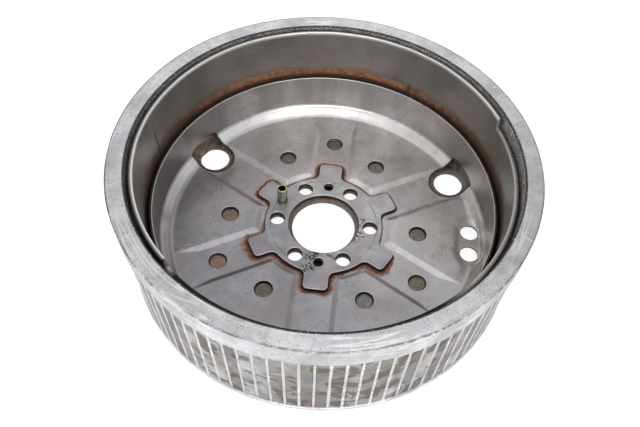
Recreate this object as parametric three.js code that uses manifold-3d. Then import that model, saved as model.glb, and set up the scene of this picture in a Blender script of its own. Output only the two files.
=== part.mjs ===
// Flywheel rotor: a drum that bolts to a crankshaft flange and carries a squirrel-cage rotor on its rim.
// Millimetres, +Z along the rotor axis. Z = 0 is the closed rear end, the drum opens upwards.
// Angles are in degrees, anticlockwise from +X seen from the open side.
import * as THREE from "three";
import { mergeVertices } from "three/addons/utils/BufferGeometryUtils.js";
import Module from "manifold-3d";

const wasm = await Module();
wasm.setup();

// ---- driving dimensions ----
const GAP = 0.3; // clearance left between neighbouring pieces
const BARS = 96;
const SHEET_STEPS = 72; // steps round a full turn of the pressed and rolled sheet pieces
const HOLE_STEPS = 20;
const PAST = 3; // how far a cutter runs past what it cuts

// squirrel cage
const CAGE_R = 157.5; // outer radius of the end ring
const CAGE_INNER_R = 144.3;
const TOTAL_HEIGHT = 101;
const END_RING_HEIGHT = 19.3; // the thick ring at the open end
const REAR_RING_HEIGHT = 4.6; // the thin ring at the closed end
const BAR_R = 156.5; // outer face of the bars, just inside the end ring
const BAR_DEPTH = 10;
const BAR_HALF_WIDTH_OUT = 0.85;
const BAR_HALF_WIDTH_IN = 1.5;
const RIM_EDGE = 0.8; // broken edge on the end rings

// lamination stack
const STACK_INNER_R = 142.3;
const SLOT_CLEARANCE = 0.2;

// drum sleeve
const SLEEVE_INNER_R = 138.8;
const SLEEVE_OUTER_R = 142;
const SLEEVE_BOTTOM = 1.5;
const SLEEVE_TOP_HIGH = 99;
const SLEEVE_TOP_LOW = 91;
const SLEEVE_STEP_ANGLE = 23; // the rim is high from here round to the second step
const SLEEVE_STEP_END = 228;

// rear web
const WEB_R = 138.4;
const WEB_BOTTOM = 6;
const WEB_TOP = 8.4;
const WEB_FLANGE_HEIGHT = 22;
const WEB_FLANGE_THICKNESS = 1.6;
const WEB_BORE_R = 26.6;
const WEB_BEND = 2;
const WEB_BOSS_R = 12.7; // the web is pressed up under each pad rivet

// front dish: a pressed cup whose floor has six raised pads between six channels
const SHEET = 2.2;
const OUTER_BEND = 1.3;
const DISH_WALL_R = 136.2; // outside of the wall
const DISH_TOP = 53.4;
const CHANNEL_FLOOR = 11;
const PAD_FLOOR = 13;
const SLOPE_FOOT_R = 126.5;
const SLOPE_TOP = 21;
const CHANNEL_HALF_FLOOR = 14.5;
const CHANNEL_WALL_WIDTH = 4.4;
const CHANNEL_RAMP_START_R = 106;
const CENTRE_FLOOR_R = 53;
const NOTCH_HALF_WIDTH = 15.5;
const NOTCH_CENTRE_R = 121;
const NOTCH_TOP = 25.5;

// hub plate
const HUB_TOP = 14;
const HUB_BORE_R = 29.8;
const HUB_R = 49.5;
const LUG_TIP_R = 65;
const LUG_HALF_WIDTH = 10;
const LUG_CORNER = 4;
const LUG_FILLET = 6;
const LUG_SPACING = 60;
const DISH_BORE_R = 30.6;

// holes
const CRANK_BOLT_R = 39.4;
const CRANK_HOLE_R = 6.25;
const JACK_HOLE_R = 4.25;
const CONVERTER_R = 123.5;
const CONVERTER_HOLE_R = 13.2;
const PAIR_R = 123.7;
const PAIR_HOLE_R = 7.5;
const PAIR_WEB_HOLE_R = 10;
const PAIR_ANGLES = [3.7, -6.4];

// rivets
const RIVET_HOLE_R = 7.4;
const RIVET_HEAD_R = 7.1;
const RIVET_HEAD_THICKNESS = 0.7;
const RIVET_STEPS = 16;
const RIVET_SHANK_R = 4.5;
const RIVET_TAIL_R = 6.6;
const RIVET_TAIL_HEIGHT = 1.8;
const RIVET_TAIL_EDGE = 0.6;
const RIVET_RECESS = 2.4; // the head sits this far below the sheet round it
const RIVET_PIP_R = 1.2;
const RIVET_PIP_HEIGHT = 0.35;
const PAD_RIVET_R = 79.8;
const CHANNEL_RIVET_R = 93.4;

// dowel pin
const PIN_R = 4.1;
const PIN_BORE_R = 2.7;
const PIN_CENTRE_R = 43;
const PIN_ANGLE = 152;
const PIN_TOP = 29;
const PIN_EDGE = 0.5;

const CHANNEL_ANGLES = [30, 90, 150, 210, 270, 330];
const CONVERTER_ANGLES = [30, 150, 270];
const CRANK_ANGLES = [0, 60, 120, 180, 240, 300];
const JACK_ANGLES = [90, 270];
const RIVETS = [
  ...CRANK_ANGLES.map((angle) => ({ angle, radius: PAD_RIVET_R, floor: PAD_FLOOR })),
  ...[90, 210, 330].map((angle) => ({ angle, radius: CHANNEL_RIVET_R, floor: CHANNEL_FLOOR })),
];

// ---- helpers ----
const rad = THREE.MathUtils.degToRad;
const polar = (radius, angle) => [radius * Math.cos(rad(angle)), radius * Math.sin(rad(angle))];

// A closed geometry as a solid that booleans can use.
function solid(geometry) {
  const g = geometry.clone();
  g.deleteAttribute("normal");
  g.deleteAttribute("uv");
  const merged = mergeVertices(g, 1e-4);
  return new wasm.Manifold(
    new wasm.Mesh({
      numProp: 3,
      vertProperties: merged.attributes.position.array,
      triVerts: new Uint32Array(merged.index.array),
    }),
  );
}

// A solid of revolution about Z from a closed outline of [radius, z] points, anticlockwise.
function turned(outline, segments = SHEET_STEPS) {
  const points = [...outline, outline[0]].map(([r, z]) => new THREE.Vector2(r, z));
  const geometry = new THREE.LatheGeometry(points, segments);
  geometry.rotateX(Math.PI / 2);
  geometry.rotateZ(Math.PI / 2);
  return solid(geometry);
}

// A flat plate between two heights, from a list of outline points.
function plate(outline, bottom, top) {
  const shape = new THREE.Shape(outline.map(([x, y]) => new THREE.Vector2(x, y)));
  const geometry = new THREE.ExtrudeGeometry(shape, { depth: top - bottom, bevelEnabled: false });
  geometry.translate(0, 0, bottom);
  return solid(geometry);
}

// A round bar along Z.
function post(radius, bottom, top, [x, y] = [0, 0], segments = HOLE_STEPS) {
  const geometry = new THREE.CylinderGeometry(radius, radius, top - bottom, segments);
  geometry.rotateX(Math.PI / 2);
  geometry.translate(x, y, (top + bottom) / 2);
  return solid(geometry);
}

// A rectangle along +X from one radius to another, as outline points.
const strip = (from, to, half) => [
  [from, -half],
  [to, -half],
  [to, half],
  [from, half],
];

// A solid through matching four-point sections, each a list of [x, y, z].
function loft(sections) {
  const positions = sections.flat(2);
  const index = [];
  for (let s = 0; s + 1 < sections.length; s++)
    for (let k = 0; k < 4; k++) {
      const a = 4 * s + k;
      const b = 4 * s + ((k + 1) % 4);
      index.push(a, b, b + 4, a, b + 4, a + 4);
    }
  const last = 4 * (sections.length - 1);
  index.push(0, 2, 1, 0, 3, 2, last, last + 1, last + 2, last, last + 2, last + 3);
  const geometry = new THREE.BufferGeometry();
  geometry.setAttribute("position", new THREE.Float32BufferAttribute(positions, 3));
  geometry.setIndex(index);
  return solid(geometry);
}

const turn = (body, angle) => body.rotate([0, 0, angle]);
const cutAll = (body, cutters) => cutters.reduce((rest, cutter) => rest.subtract(cutter), body);

function meshOf(name, body, material) {
  const made = body.getMesh();
  const geometry = new THREE.BufferGeometry();
  geometry.setAttribute("position", new THREE.BufferAttribute(made.vertProperties, 3));
  geometry.setIndex(new THREE.BufferAttribute(made.triVerts, 1));
  geometry.computeVertexNormals();
  const mesh = new THREE.Mesh(geometry, material);
  mesh.name = name;
  return mesh;
}

const metal = (color, roughness, metalness) =>
  new THREE.MeshStandardMaterial({ color, roughness, metalness });
const MATERIALS = {
  aluminium: metal(0xc4c6c9, 0.45, 0.9),
  lamination: metal(0x9c9894, 0.55, 0.8),
  sleeve: metal(0x77706a, 0.4, 0.85),
  sheet: metal(0x8e8c8c, 0.42, 0.85),
  hub: metal(0x86878a, 0.4, 0.9),
  rivet: metal(0x6a625c, 0.6, 0.7),
  pin: metal(0xb0a482, 0.4, 0.9),
};

// ---- squirrel cage: two end rings joined by bars, one casting ----
function endRing(bottom, top) {
  const outline = [
    [CAGE_INNER_R, bottom],
    [CAGE_R, bottom],
    [CAGE_R, top - RIM_EDGE],
    [CAGE_R - RIM_EDGE, top],
    [CAGE_INNER_R, top],
  ];
  return turned(outline, BARS);
}

function rotorCage() {
  const bottom = REAR_RING_HEIGHT / 2;
  const top = TOTAL_HEIGHT - END_RING_HEIGHT / 2;
  const inner = BAR_R - BAR_DEPTH;
  let cage = endRing(0, REAR_RING_HEIGHT).add(endRing(TOTAL_HEIGHT - END_RING_HEIGHT, TOTAL_HEIGHT));
  const bar = plate(
    [
      [inner, -BAR_HALF_WIDTH_IN],
      [BAR_R, -BAR_HALF_WIDTH_OUT],
      [BAR_R, BAR_HALF_WIDTH_OUT],
      [inner, BAR_HALF_WIDTH_IN],
    ],
    bottom,
    top,
  );
  for (let k = 0; k < BARS; k++) cage = cage.add(turn(bar, (360 * k) / BARS));
  return cage;
}

// ---- lamination stack: slotted steel sheets between the end rings ----
function laminationStack() {
  const slotInner = BAR_R - BAR_DEPTH - SLOT_CLEARANCE;
  const outline = [];
  for (let k = 0; k < BARS; k++) {
    const [c, s] = polar(1, (360 * k) / BARS);
    const at = (r, w) => [r * c - w * s, r * s + w * c];
    outline.push(
      at(BAR_R, -BAR_HALF_WIDTH_OUT - SLOT_CLEARANCE),
      at(slotInner, -BAR_HALF_WIDTH_IN - SLOT_CLEARANCE),
      at(slotInner, BAR_HALF_WIDTH_IN + SLOT_CLEARANCE),
      at(BAR_R, BAR_HALF_WIDTH_OUT + SLOT_CLEARANCE),
    );
  }
  const bottom = REAR_RING_HEIGHT + GAP;
  const top = TOTAL_HEIGHT - END_RING_HEIGHT - GAP;
  const bore = post(STACK_INNER_R, bottom - PAST, top + PAST, [0, 0], BARS);
  return plate(outline, bottom, top).subtract(bore);
}

// ---- drum sleeve: thin steel tube with a stepped rim ----
function drumSleeve() {
  const outline = [
    [SLEEVE_INNER_R, SLEEVE_BOTTOM],
    [SLEEVE_OUTER_R, SLEEVE_BOTTOM],
    [SLEEVE_OUTER_R, SLEEVE_TOP_HIGH],
    [SLEEVE_INNER_R, SLEEVE_TOP_HIGH],
  ];
  const tube = turned(outline, BARS);
  const reach = SLEEVE_OUTER_R + PAST;
  const halfTurn = strip(0, reach, reach);
  const lowSide = plate(halfTurn, SLEEVE_TOP_LOW, SLEEVE_TOP_HIGH + PAST);
  const beforeFirstStep = turn(lowSide, SLEEVE_STEP_ANGLE - 90);
  const afterSecondStep = turn(lowSide, SLEEVE_STEP_END - 270);
  return tube.subtract(beforeFirstStep.intersect(afterSecondStep));
}

// The holes that the web, the dish and the hub plate share, each made by through(radius, centre).
const crankFaceHoles = (through) => [
  ...CRANK_ANGLES.map((angle) => through(CRANK_HOLE_R, polar(CRANK_BOLT_R, angle))),
  ...JACK_ANGLES.map((angle) => through(JACK_HOLE_R, polar(CRANK_BOLT_R, angle))),
  through(PIN_R + GAP, polar(PIN_CENTRE_R, PIN_ANGLE)),
];

// The height of the web under a rivet head, from the height of the dish round it.
const rivetSeat = (floor) => floor - RIVET_RECESS - RIVET_HEAD_THICKNESS - GAP;

// ---- rear web: floor plate of the drum, turned up where it meets the sleeve ----
function rearWeb() {
  const inside = WEB_R - WEB_FLANGE_THICKNESS;
  const bend = WEB_BEND / 2;
  const body = turned([
    [WEB_BORE_R, WEB_BOTTOM],
    [WEB_R - WEB_BEND, WEB_BOTTOM],
    [WEB_R, WEB_BOTTOM + WEB_BEND],
    [WEB_R, WEB_FLANGE_HEIGHT],
    [inside, WEB_FLANGE_HEIGHT],
    [inside, WEB_TOP + bend],
    [inside - bend, WEB_TOP],
    [WEB_BORE_R, WEB_TOP],
  ]);
  const middle = (WEB_BOTTOM + WEB_TOP) / 2;
  const bosses = RIVETS.filter(({ floor }) => floor === PAD_FLOOR).map(({ angle, radius, floor }) =>
    post(WEB_BOSS_R, middle, rivetSeat(floor), polar(radius, angle)),
  );
  const raised = bosses.reduce((all, boss) => all.add(boss), body);
  const through = (radius, at) => post(radius, WEB_BOTTOM - PAST, PAD_FLOOR + PAST, at);
  return cutAll(raised, [
    ...crankFaceHoles(through),
    ...CONVERTER_ANGLES.map((angle) => through(CONVERTER_HOLE_R, polar(CONVERTER_R, angle))),
    ...PAIR_ANGLES.map((angle) => through(PAIR_WEB_HOLE_R, polar(PAIR_R, angle))),
    ...RIVETS.map(({ angle, radius }) => through(RIVET_SHANK_R + GAP, polar(radius, angle))),
    ...RIVETS.map(({ angle, radius, floor }) =>
      post(RIVET_HOLE_R, rivetSeat(floor), PAD_FLOOR + PAST, polar(radius, angle)),
    ),
  ]);
}

// ---- front dish ----
// The cutter of a channel from the centre out to the slope, with leaning sides and a ramp at its outer end.
const CHANNEL_LEAN = CHANNEL_WALL_WIDTH / (PAD_FLOOR - CHANNEL_FLOOR);
const leaning = (height) => (height - CHANNEL_FLOOR) * CHANNEL_LEAN;

function channel() {
  const top = PAD_FLOOR + PAST;
  const section = (r, floor) => {
    const half = CHANNEL_HALF_FLOOR + leaning(floor);
    const halfTop = CHANNEL_HALF_FLOOR + leaning(top);
    return [
      [r, -half, floor],
      [r, half, floor],
      [r, halfTop, top],
      [r, -halfTop, top],
    ];
  };
  return loft([
    section(0, CHANNEL_FLOOR),
    section(CHANNEL_RAMP_START_R, CHANNEL_FLOOR),
    section(SLOPE_FOOT_R, PAD_FLOOR),
  ]);
}

// A converter notch: round at its inner end, and cut out through the slope and the wall.
function notch(bottom) {
  const slot = plate(strip(NOTCH_CENTRE_R, DISH_WALL_R + PAST, NOTCH_HALF_WIDTH), bottom, NOTCH_TOP);
  return slot.add(post(NOTCH_HALF_WIDTH, bottom, NOTCH_TOP, [NOTCH_CENTRE_R, 0], 32));
}

// What is cut away under the pads, so that the sheet is one thickness throughout.
function padPockets(under) {
  const inner = CENTRE_FLOOR_R + CHANNEL_WALL_WIDTH;
  const outer = SLOPE_FOOT_R - OUTER_BEND;
  const ring = turned([
    [inner, under - PAST],
    [outer, under - PAST],
    [outer, PAD_FLOOR - SHEET],
    [inner, PAD_FLOOR - SHEET],
  ]);
  const halfWidth = CHANNEL_HALF_FLOOR + CHANNEL_WALL_WIDTH;
  const rib = plate(strip(0, DISH_WALL_R, halfWidth), under - 2 * PAST, PAD_FLOOR);
  return cutAll(ring, CHANNEL_ANGLES.map((angle) => turn(rib, angle)));
}

function frontDish() {
  const wallInner = DISH_WALL_R - SHEET;
  const under = CHANNEL_FLOOR - SHEET;
  const top = PAD_FLOOR + PAST;
  const body = turned([
    [DISH_BORE_R, under],
    [SLOPE_FOOT_R + OUTER_BEND, under],
    [DISH_WALL_R, SLOPE_TOP - OUTER_BEND],
    [DISH_WALL_R, DISH_TOP],
    [wallInner, DISH_TOP],
    [wallInner, SLOPE_TOP],
    [SLOPE_FOOT_R, PAD_FLOOR],
    [DISH_BORE_R, PAD_FLOOR],
  ]);
  const centre = turned([
    [0, CHANNEL_FLOOR],
    [CENTRE_FLOOR_R, CHANNEL_FLOOR],
    [CENTRE_FLOOR_R + leaning(top), top],
    [0, top],
  ]);
  const through = (radius, at) => post(radius, under - PAST, SLOPE_TOP + PAST, at);
  return cutAll(body, [
    centre,
    ...CHANNEL_ANGLES.map((angle) => turn(channel(), angle)),
    padPockets(under),
    ...CONVERTER_ANGLES.map((angle) => turn(notch(under - PAST), angle)),
    ...PAIR_ANGLES.map((angle) => through(PAIR_HOLE_R, polar(PAIR_R, angle))),
    ...RIVETS.map(({ angle, radius }) => through(RIVET_HOLE_R, polar(radius, angle))),
    ...crankFaceHoles(through),
  ]);
}

// ---- hub plate: six rounded lugs round the crankshaft bolt circle ----
// Points along an arc, both ends included.
const arc = ([x, y], radius, from, to, steps) =>
  Array.from({ length: steps + 1 }, (_, i) => {
    const [dx, dy] = polar(radius, from + ((to - from) * i) / steps);
    return [x + dx, y + dy];
  });

function hubOutline() {
  const filletY = LUG_HALF_WIDTH + LUG_FILLET;
  const filletX = Math.sqrt((HUB_R + LUG_FILLET) ** 2 - filletY ** 2);
  const meet = THREE.MathUtils.radToDeg(Math.atan2(filletY, filletX));
  const tip = LUG_TIP_R - LUG_CORNER;
  const side = LUG_HALF_WIDTH - LUG_CORNER;
  const lug = [
    ...arc([filletX, -filletY], LUG_FILLET, 180 - meet, 90, 4),
    ...arc([tip, -side], LUG_CORNER, -90, 0, 4),
    ...arc([tip, side], LUG_CORNER, 0, 90, 4),
    ...arc([filletX, filletY], LUG_FILLET, 270, 180 + meet, 4),
    ...arc([0, 0], HUB_R, meet, LUG_SPACING - meet, 6).slice(1, -1),
  ];
  return CHANNEL_ANGLES.flatMap((angle) => {
    const [c, s] = polar(1, angle);
    return lug.map(([x, y]) => [x * c - y * s, x * s + y * c]);
  });
}

function hubPlate() {
  const bottom = CHANNEL_FLOOR + GAP;
  const through = (radius, at) => post(radius, bottom - PAST, HUB_TOP + PAST, at);
  return cutAll(plate(hubOutline(), bottom, HUB_TOP), [
    post(HUB_BORE_R, bottom - PAST, HUB_TOP + PAST, [0, 0], SHEET_STEPS),
    ...crankFaceHoles(through),
  ]);
}

// ---- dowel pin: a rolled steel tube standing up from the hub plate ----
function dowelPin() {
  const outline = [
    [PIN_BORE_R, WEB_BOTTOM],
    [PIN_R, WEB_BOTTOM],
    [PIN_R, PIN_TOP - PIN_EDGE],
    [PIN_R - PIN_EDGE, PIN_TOP],
    [PIN_BORE_R, PIN_TOP],
  ];
  return turned(outline, HOLE_STEPS).translate([...polar(PIN_CENTRE_R, PIN_ANGLE), 0]);
}

// ---- rivet: flat head in the dish with a small pip, shank through the web, upset tail behind ----
function rivet({ angle, radius, floor }) {
  const headTop = floor - RIVET_RECESS;
  const headBottom = headTop - RIVET_HEAD_THICKNESS;
  const tailTop = WEB_BOTTOM - GAP;
  const tailBottom = tailTop - RIVET_TAIL_HEIGHT;
  const outline = [
    [0, tailBottom],
    [RIVET_TAIL_R - RIVET_TAIL_EDGE, tailBottom],
    [RIVET_TAIL_R, tailBottom + RIVET_TAIL_EDGE],
    [RIVET_TAIL_R, tailTop],
    [RIVET_SHANK_R, tailTop],
    [RIVET_SHANK_R, headBottom],
    [RIVET_HEAD_R, headBottom],
    [RIVET_HEAD_R, headTop],
    [RIVET_PIP_R, headTop],
    [0, headTop + RIVET_PIP_HEIGHT],
  ];
  return turned(outline, RIVET_STEPS).translate([...polar(radius, angle), 0]);
}

// ---- assembly ----
const flywheel = new THREE.Group();
flywheel.add(meshOf("rotor_cage", rotorCage(), MATERIALS.aluminium));
flywheel.add(meshOf("lamination_stack", laminationStack(), MATERIALS.lamination));
flywheel.add(meshOf("drum_sleeve", drumSleeve(), MATERIALS.sleeve));
flywheel.add(meshOf("rear_web", rearWeb(), MATERIALS.sheet));
flywheel.add(meshOf("front_dish", frontDish(), MATERIALS.sheet));
flywheel.add(meshOf("hub_plate", hubPlate(), MATERIALS.hub));
flywheel.add(meshOf("dowel_pin", dowelPin(), MATERIALS.pin));
RIVETS.forEach((place, k) => {
  flywheel.add(meshOf(`rivet_${k + 1}`, rivet(place), MATERIALS.rivet));
});

export default flywheel;
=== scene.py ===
"""A flywheel rotor: a steel drum with a star-shaped dish inside and a squirrel-cage rotor round it.

Every piece is built in millimetres and turned into metres when its mesh is made.
Angles are in degrees, anticlockwise from +X seen from the open side.
"""

import math

import bpy
import numpy as np
from mathutils import Matrix, Vector, noise
from mathutils.geometry import delaunay_2d_cdt


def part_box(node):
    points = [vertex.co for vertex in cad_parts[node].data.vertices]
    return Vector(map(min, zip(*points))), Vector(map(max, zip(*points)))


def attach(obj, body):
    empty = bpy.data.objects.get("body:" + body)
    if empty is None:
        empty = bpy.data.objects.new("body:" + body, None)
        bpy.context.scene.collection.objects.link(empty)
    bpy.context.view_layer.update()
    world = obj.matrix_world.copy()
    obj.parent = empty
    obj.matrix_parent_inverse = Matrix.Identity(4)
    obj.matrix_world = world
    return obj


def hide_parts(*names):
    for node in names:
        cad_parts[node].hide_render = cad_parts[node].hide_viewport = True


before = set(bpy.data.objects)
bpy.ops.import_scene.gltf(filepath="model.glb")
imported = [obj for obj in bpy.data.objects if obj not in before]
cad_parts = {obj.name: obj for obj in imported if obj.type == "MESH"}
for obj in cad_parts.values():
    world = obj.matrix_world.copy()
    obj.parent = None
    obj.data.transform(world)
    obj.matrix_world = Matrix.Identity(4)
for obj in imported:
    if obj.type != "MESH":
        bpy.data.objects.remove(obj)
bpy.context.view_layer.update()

MM = 0.001
TAU = 2 * math.pi


def corner(node, high=True):
    """The highest or lowest corner of a CAD node, in millimetres."""
    return np.array(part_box(node)[1 if high else 0]) / MM


# ---- driving dimensions, in millimetres ----
CAGE_R, _, HEIGHT = corner("rotor_cage")
SLEEVE_OUTER_R = corner("drum_sleeve")[0]
SLEEVE_BOTTOM = corner("drum_sleeve", high=False)[2]
SLEEVE_TOP_HIGH = corner("drum_sleeve")[2]
DISH_OUTER_R, _, DISH_TOP = corner("front_dish")
WEB_OUTER_R, _, WEB_FLANGE_TOP = corner("rear_web")
WEB_BOTTOM = corner("rear_web", high=False)[2]
HUB_TOP = corner("hub_plate")[2]
HUB_BOTTOM = corner("hub_plate", high=False)[2]
STACK_BOTTOM = corner("lamination_stack", high=False)[2]
STACK_TOP = corner("lamination_stack")[2]
PIN_TOP = corner("dowel_pin")[2]

BARS = 96
BAR_R = 156.5
BAR_WIDTH = 2.15
CAGE_INNER_R = 144.3
END_RING_HEIGHT = 19.3
REAR_RING_HEIGHT = 4.6
SLEEVE_INNER_R = 138.8
SLEEVE_TOP_LOW = 91
SLEEVE_STEP_ANGLE = 23
SLEEVE_STEP_END = 228
SEAM_ANGLE = 171
SCAR_ANGLE = 64
SEAM_TOP = 81
RUST_TOP = 64  # the rust on the sleeve's wall starts here and is full 5 mm lower
SHADOW_LINE_TOP = 57  # painted shade: the wall is darkened from here down to the dish, a shadow line above the dish's rim

SHEET = 2.2
PAD_FLOOR = 13
CHANNEL_DEPTH = 2
CHANNEL_HALF_FLOOR = 14.5
CHANNEL_WALL_WIDTH = 4.4
RAMP_START_R = 105
RAMP_END_R = 125
CENTRE_FLOOR_R = 53
SLOPE_FOOT_R = 126.5
SLOPE_TOP = 21
NOTCH_HALF_WIDTH = 15.5
NOTCH_CENTRE_R = 121
NOTCH_TOP = 25.5
NOTCH_ARCH = 5
DISH_BORE_R = 30.6

HUB_BORE_R = 29.8
HUB_R = 49.5
LUG_TIP_R = 65
LUG_HALF_WIDTH = 10
LUG_CORNER = 4
LUG_FILLET = 6
SCRIBED_R = 45

WEB_BORE_R = 26.6
WEB_THICKNESS = 2.4
WEB_FLANGE_THICKNESS = 1.6
WEB_SHEET = 1.9  # here the floor and the flange are one sheet, between their two thicknesses in CAD
WEB_BOSS_R = 12.7
WEB_BOSS_HEIGHT = 1.2
WEB_SEAT_DEPTH = 0.8

CRANK_BOLT_R = 39.4
CRANK_HOLE_R = 6.25
JACK_HOLE_R = 4.25
CONVERTER_R = 123.5
CONVERTER_HOLE_R = 13.2
PAIR_R = 123.7
PAIR_HOLE_R = 7.5
PAIR_WEB_HOLE_R = 10
PAIR_ANGLES = (3.7, -6.4)
RIVET_HOLE_R = 7.4
RIVET_HEAD_R = 7.1
RIVET_SHANK_R = 4.5
RIVET_TAIL_R = 6.6
PAD_RIVET_R = 79.8
CHANNEL_RIVET_R = 93.4
PIN_R = 4.1
PIN_BORE_R = 2.7
PIN_CENTRE_R = 43
PIN_ANGLE = 152

CHANNEL_ANGLES = (30, 90, 150, 210, 270, 330)
CONVERTER_ANGLES = (30, 150, 270)
CRANK_ANGLES = (0, 60, 120, 180, 240, 300)
JACK_ANGLES = (90, 270)
RIVETS = [(PAD_RIVET_R, a, PAD_FLOOR) for a in CRANK_ANGLES]
RIVETS += [(CHANNEL_RIVET_R, a, PAD_FLOOR - CHANNEL_DEPTH) for a in (90, 210, 330)]


# ---- camera ----
def aim_camera():
    """The camera stands in front and above, turned a little about its own axis."""
    right = Vector((0.99378, 0.10302, 0.04271)).normalized()
    back = Vector((0.02150, -0.55270, 0.83310))
    back = (back - back.dot(right) * right).normalized()
    up = back.cross(right)
    data = bpy.data.cameras.new("camera")
    data.lens = 34.76
    data.sensor_width = 36
    data.shift_x = -0.0203
    data.shift_y = 0.0570
    data.clip_start = 0.01
    data.clip_end = 20
    camera = bpy.data.objects.new("camera", data)
    turn = Matrix((right, up, back)).transposed().to_4x4()
    camera.matrix_world = Matrix.Translation(Vector((21.535, -306.292, 436.111)) * MM) @ turn
    bpy.context.scene.collection.objects.link(camera)
    bpy.context.scene.camera = camera


# ---- plane geometry ----
def polar(radius, angle):
    """A point at that distance from the axis."""
    return np.array([radius * math.cos(math.radians(angle)), radius * math.sin(math.radians(angle))])


def radius_of(points):
    """Each point's distance from the axis."""
    return np.hypot(points[:, 0], points[:, 1])


def circle(radius, centre=(0, 0), steps=48, clockwise=False):
    """A closed loop."""
    t = np.arange(steps) * TAU / steps * (-1 if clockwise else 1)
    return np.column_stack([centre[0] + radius * np.cos(t), centre[1] + radius * np.sin(t)])


def arc(centre, radius, start, end, steps):
    """An open arc, both ends included."""
    t = np.radians(np.linspace(start, end, steps + 1))
    return np.column_stack([centre[0] + radius * np.cos(t), centre[1] + radius * np.sin(t)])


def rotated(points, angle):
    """The points turned round the axis."""
    c, s = math.cos(math.radians(angle)), math.sin(math.radians(angle))
    return points @ np.array([[c, s], [-s, c]])


def without_repeats(loop):
    """The closed loop without points that repeat the one before."""
    loop = np.asarray(loop)
    return loop[np.linalg.norm(loop - np.roll(loop, 1, 0), axis=1) > 1e-4]


def resampled(loop, spacing):
    """The closed loop with extra points, so that no side is much longer than spacing."""
    loop = without_repeats(loop)
    out = []
    for a, b in zip(loop, np.roll(loop, -1, 0)):
        n = max(1, int(round(np.linalg.norm(b - a) / spacing)))
        out.extend(a + (b - a) * k / n for k in range(n))
    return np.array(out)


def offset_loop(loop, distance):
    """The loop moved to the left of its direction of travel."""
    ahead = np.roll(loop, -1, 0) - loop
    ahead /= np.linalg.norm(ahead, axis=1)[:, None]
    left = np.column_stack([-ahead[:, 1], ahead[:, 0]])
    both = left + np.roll(left, 1, 0)
    both /= np.maximum(0.5, (both * both).sum(1))[:, None] / 2
    return loop + both * distance


def inside(points, loop):
    """Which points lie inside the closed loop, by counting crossings."""
    x, y = points[:, 0:1], points[:, 1:2]
    x0, y0 = loop[:, 0], loop[:, 1]
    x1, y1 = np.roll(x0, -1), np.roll(y0, -1)
    crosses = (y0 > y) != (y1 > y)
    with np.errstate(divide="ignore", invalid="ignore"):
        at = x0 + (y - y0) * (x1 - x0) / (y1 - y0)
    return (crosses & (x < at)).sum(1) % 2 == 1


def distance_to(points, loop):
    """Distance from each point to the nearest side of the closed loop."""
    best = np.full(len(points), 1e9)
    for a, b in zip(loop, np.roll(loop, -1, 0)):
        side = b - a
        t = np.clip((points - a) @ side / max(side @ side, 1e-12), 0, 1)
        best = np.minimum(best, np.linalg.norm(points - a - t[:, None] * side, axis=1))
    return best


def ease(t):
    """A share from 0 to 1 with a soft start and end."""
    return t * t * (3 - 2 * t)


def smooth_clamp(x, top, softness):
    """x held between 0 and top, with rounded corners."""
    soft = lambda v: softness * np.logaddexp(0, v / softness)
    return soft(x) - soft(x - top)


def rounded_path(corners, radii, steps=10):
    """A polyline through the corners, each inner corner replaced by an arc of its radius."""
    corners = [np.array(c, float) for c in corners]
    out = [corners[0]]
    for before, at, after, radius in zip(corners, corners[1:], corners[2:], radii):
        a = (before - at) / np.linalg.norm(before - at)
        b = (after - at) / np.linalg.norm(after - at)
        half = math.acos(np.clip(a @ b, -1, 1)) / 2
        reach = radius / math.tan(half)
        centre = at + (a + b) / np.linalg.norm(a + b) * radius / math.sin(half)
        p, q = at + a * reach - centre, at + b * reach - centre
        sweep = math.atan2(p[0] * q[1] - p[1] * q[0], p @ q)
        for k in range(steps + 1):
            t = sweep * k / steps
            c, s = math.cos(t), math.sin(t)
            out.append(centre + np.array([c * p[0] - s * p[1], s * p[0] + c * p[1]]))
    out.append(corners[-1])
    return np.array(out)


def wobble(points, scale, seed=0.0):
    """Smooth noise from -1 to 1 at each point, with features about scale millimetres wide."""
    shift = Vector((seed * 17.3, seed * 5.1, seed * 9.7))
    return np.array([noise.noise(Vector(p) / scale + shift) for p in points])


def waves_over(plan, scale, layer):
    """Smooth noise from -1 to 1 over a flat plan, on one layer of the noise."""
    return np.array([noise.noise(Vector((x / scale, y / scale, layer))) for x, y in plan])


# ---- meshes ----
def piece(name, points, faces, material, replaces, smooth_angle=38, fields=None):
    """A finished object from points in millimetres: it rides on the body, with its material, and hides the
    CAD parts it replaces.
    """
    mesh = bpy.data.meshes.new(name)
    mesh.from_pydata([tuple(p) for p in np.asarray(points) * MM], [], [tuple(f) for f in faces])
    mesh.validate()
    for key, values in (fields or {}).items():
        mesh.attributes.new(key, "FLOAT", "POINT").data.foreach_set("value", np.asarray(values, np.float32))
    mesh.materials.append(material)
    mesh.polygons.foreach_set("use_smooth", [True] * len(mesh.polygons))
    made = bpy.data.objects.new(name, mesh)
    bpy.context.scene.collection.objects.link(made)
    mesh.set_sharp_from_angle(angle=math.radians(smooth_angle))
    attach(made, "root")
    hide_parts(*replaces)
    return made


def ring_faces(rows, columns, closed_rows=True):
    """Quads over a grid that closes round its columns, and over its rows too if asked."""
    faces = []
    for i in range(rows if closed_rows else rows - 1):
        for j in range(columns):
            a, b = i * columns, ((i + 1) % rows) * columns
            k = (j + 1) % columns
            faces.append((a + j, a + k, b + k, b + j))
    return faces


def revolved(profile, angles):
    """Points and quads of a closed outline of [radius, z] points, anticlockwise, turned round Z."""
    t = np.radians(angles)
    points = [[r * math.cos(a), r * math.sin(a), z] for r, z in profile for a in t]
    faces = [f[::-1] for f in ring_faces(len(profile), len(angles))]
    return np.array(points), faces


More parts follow.
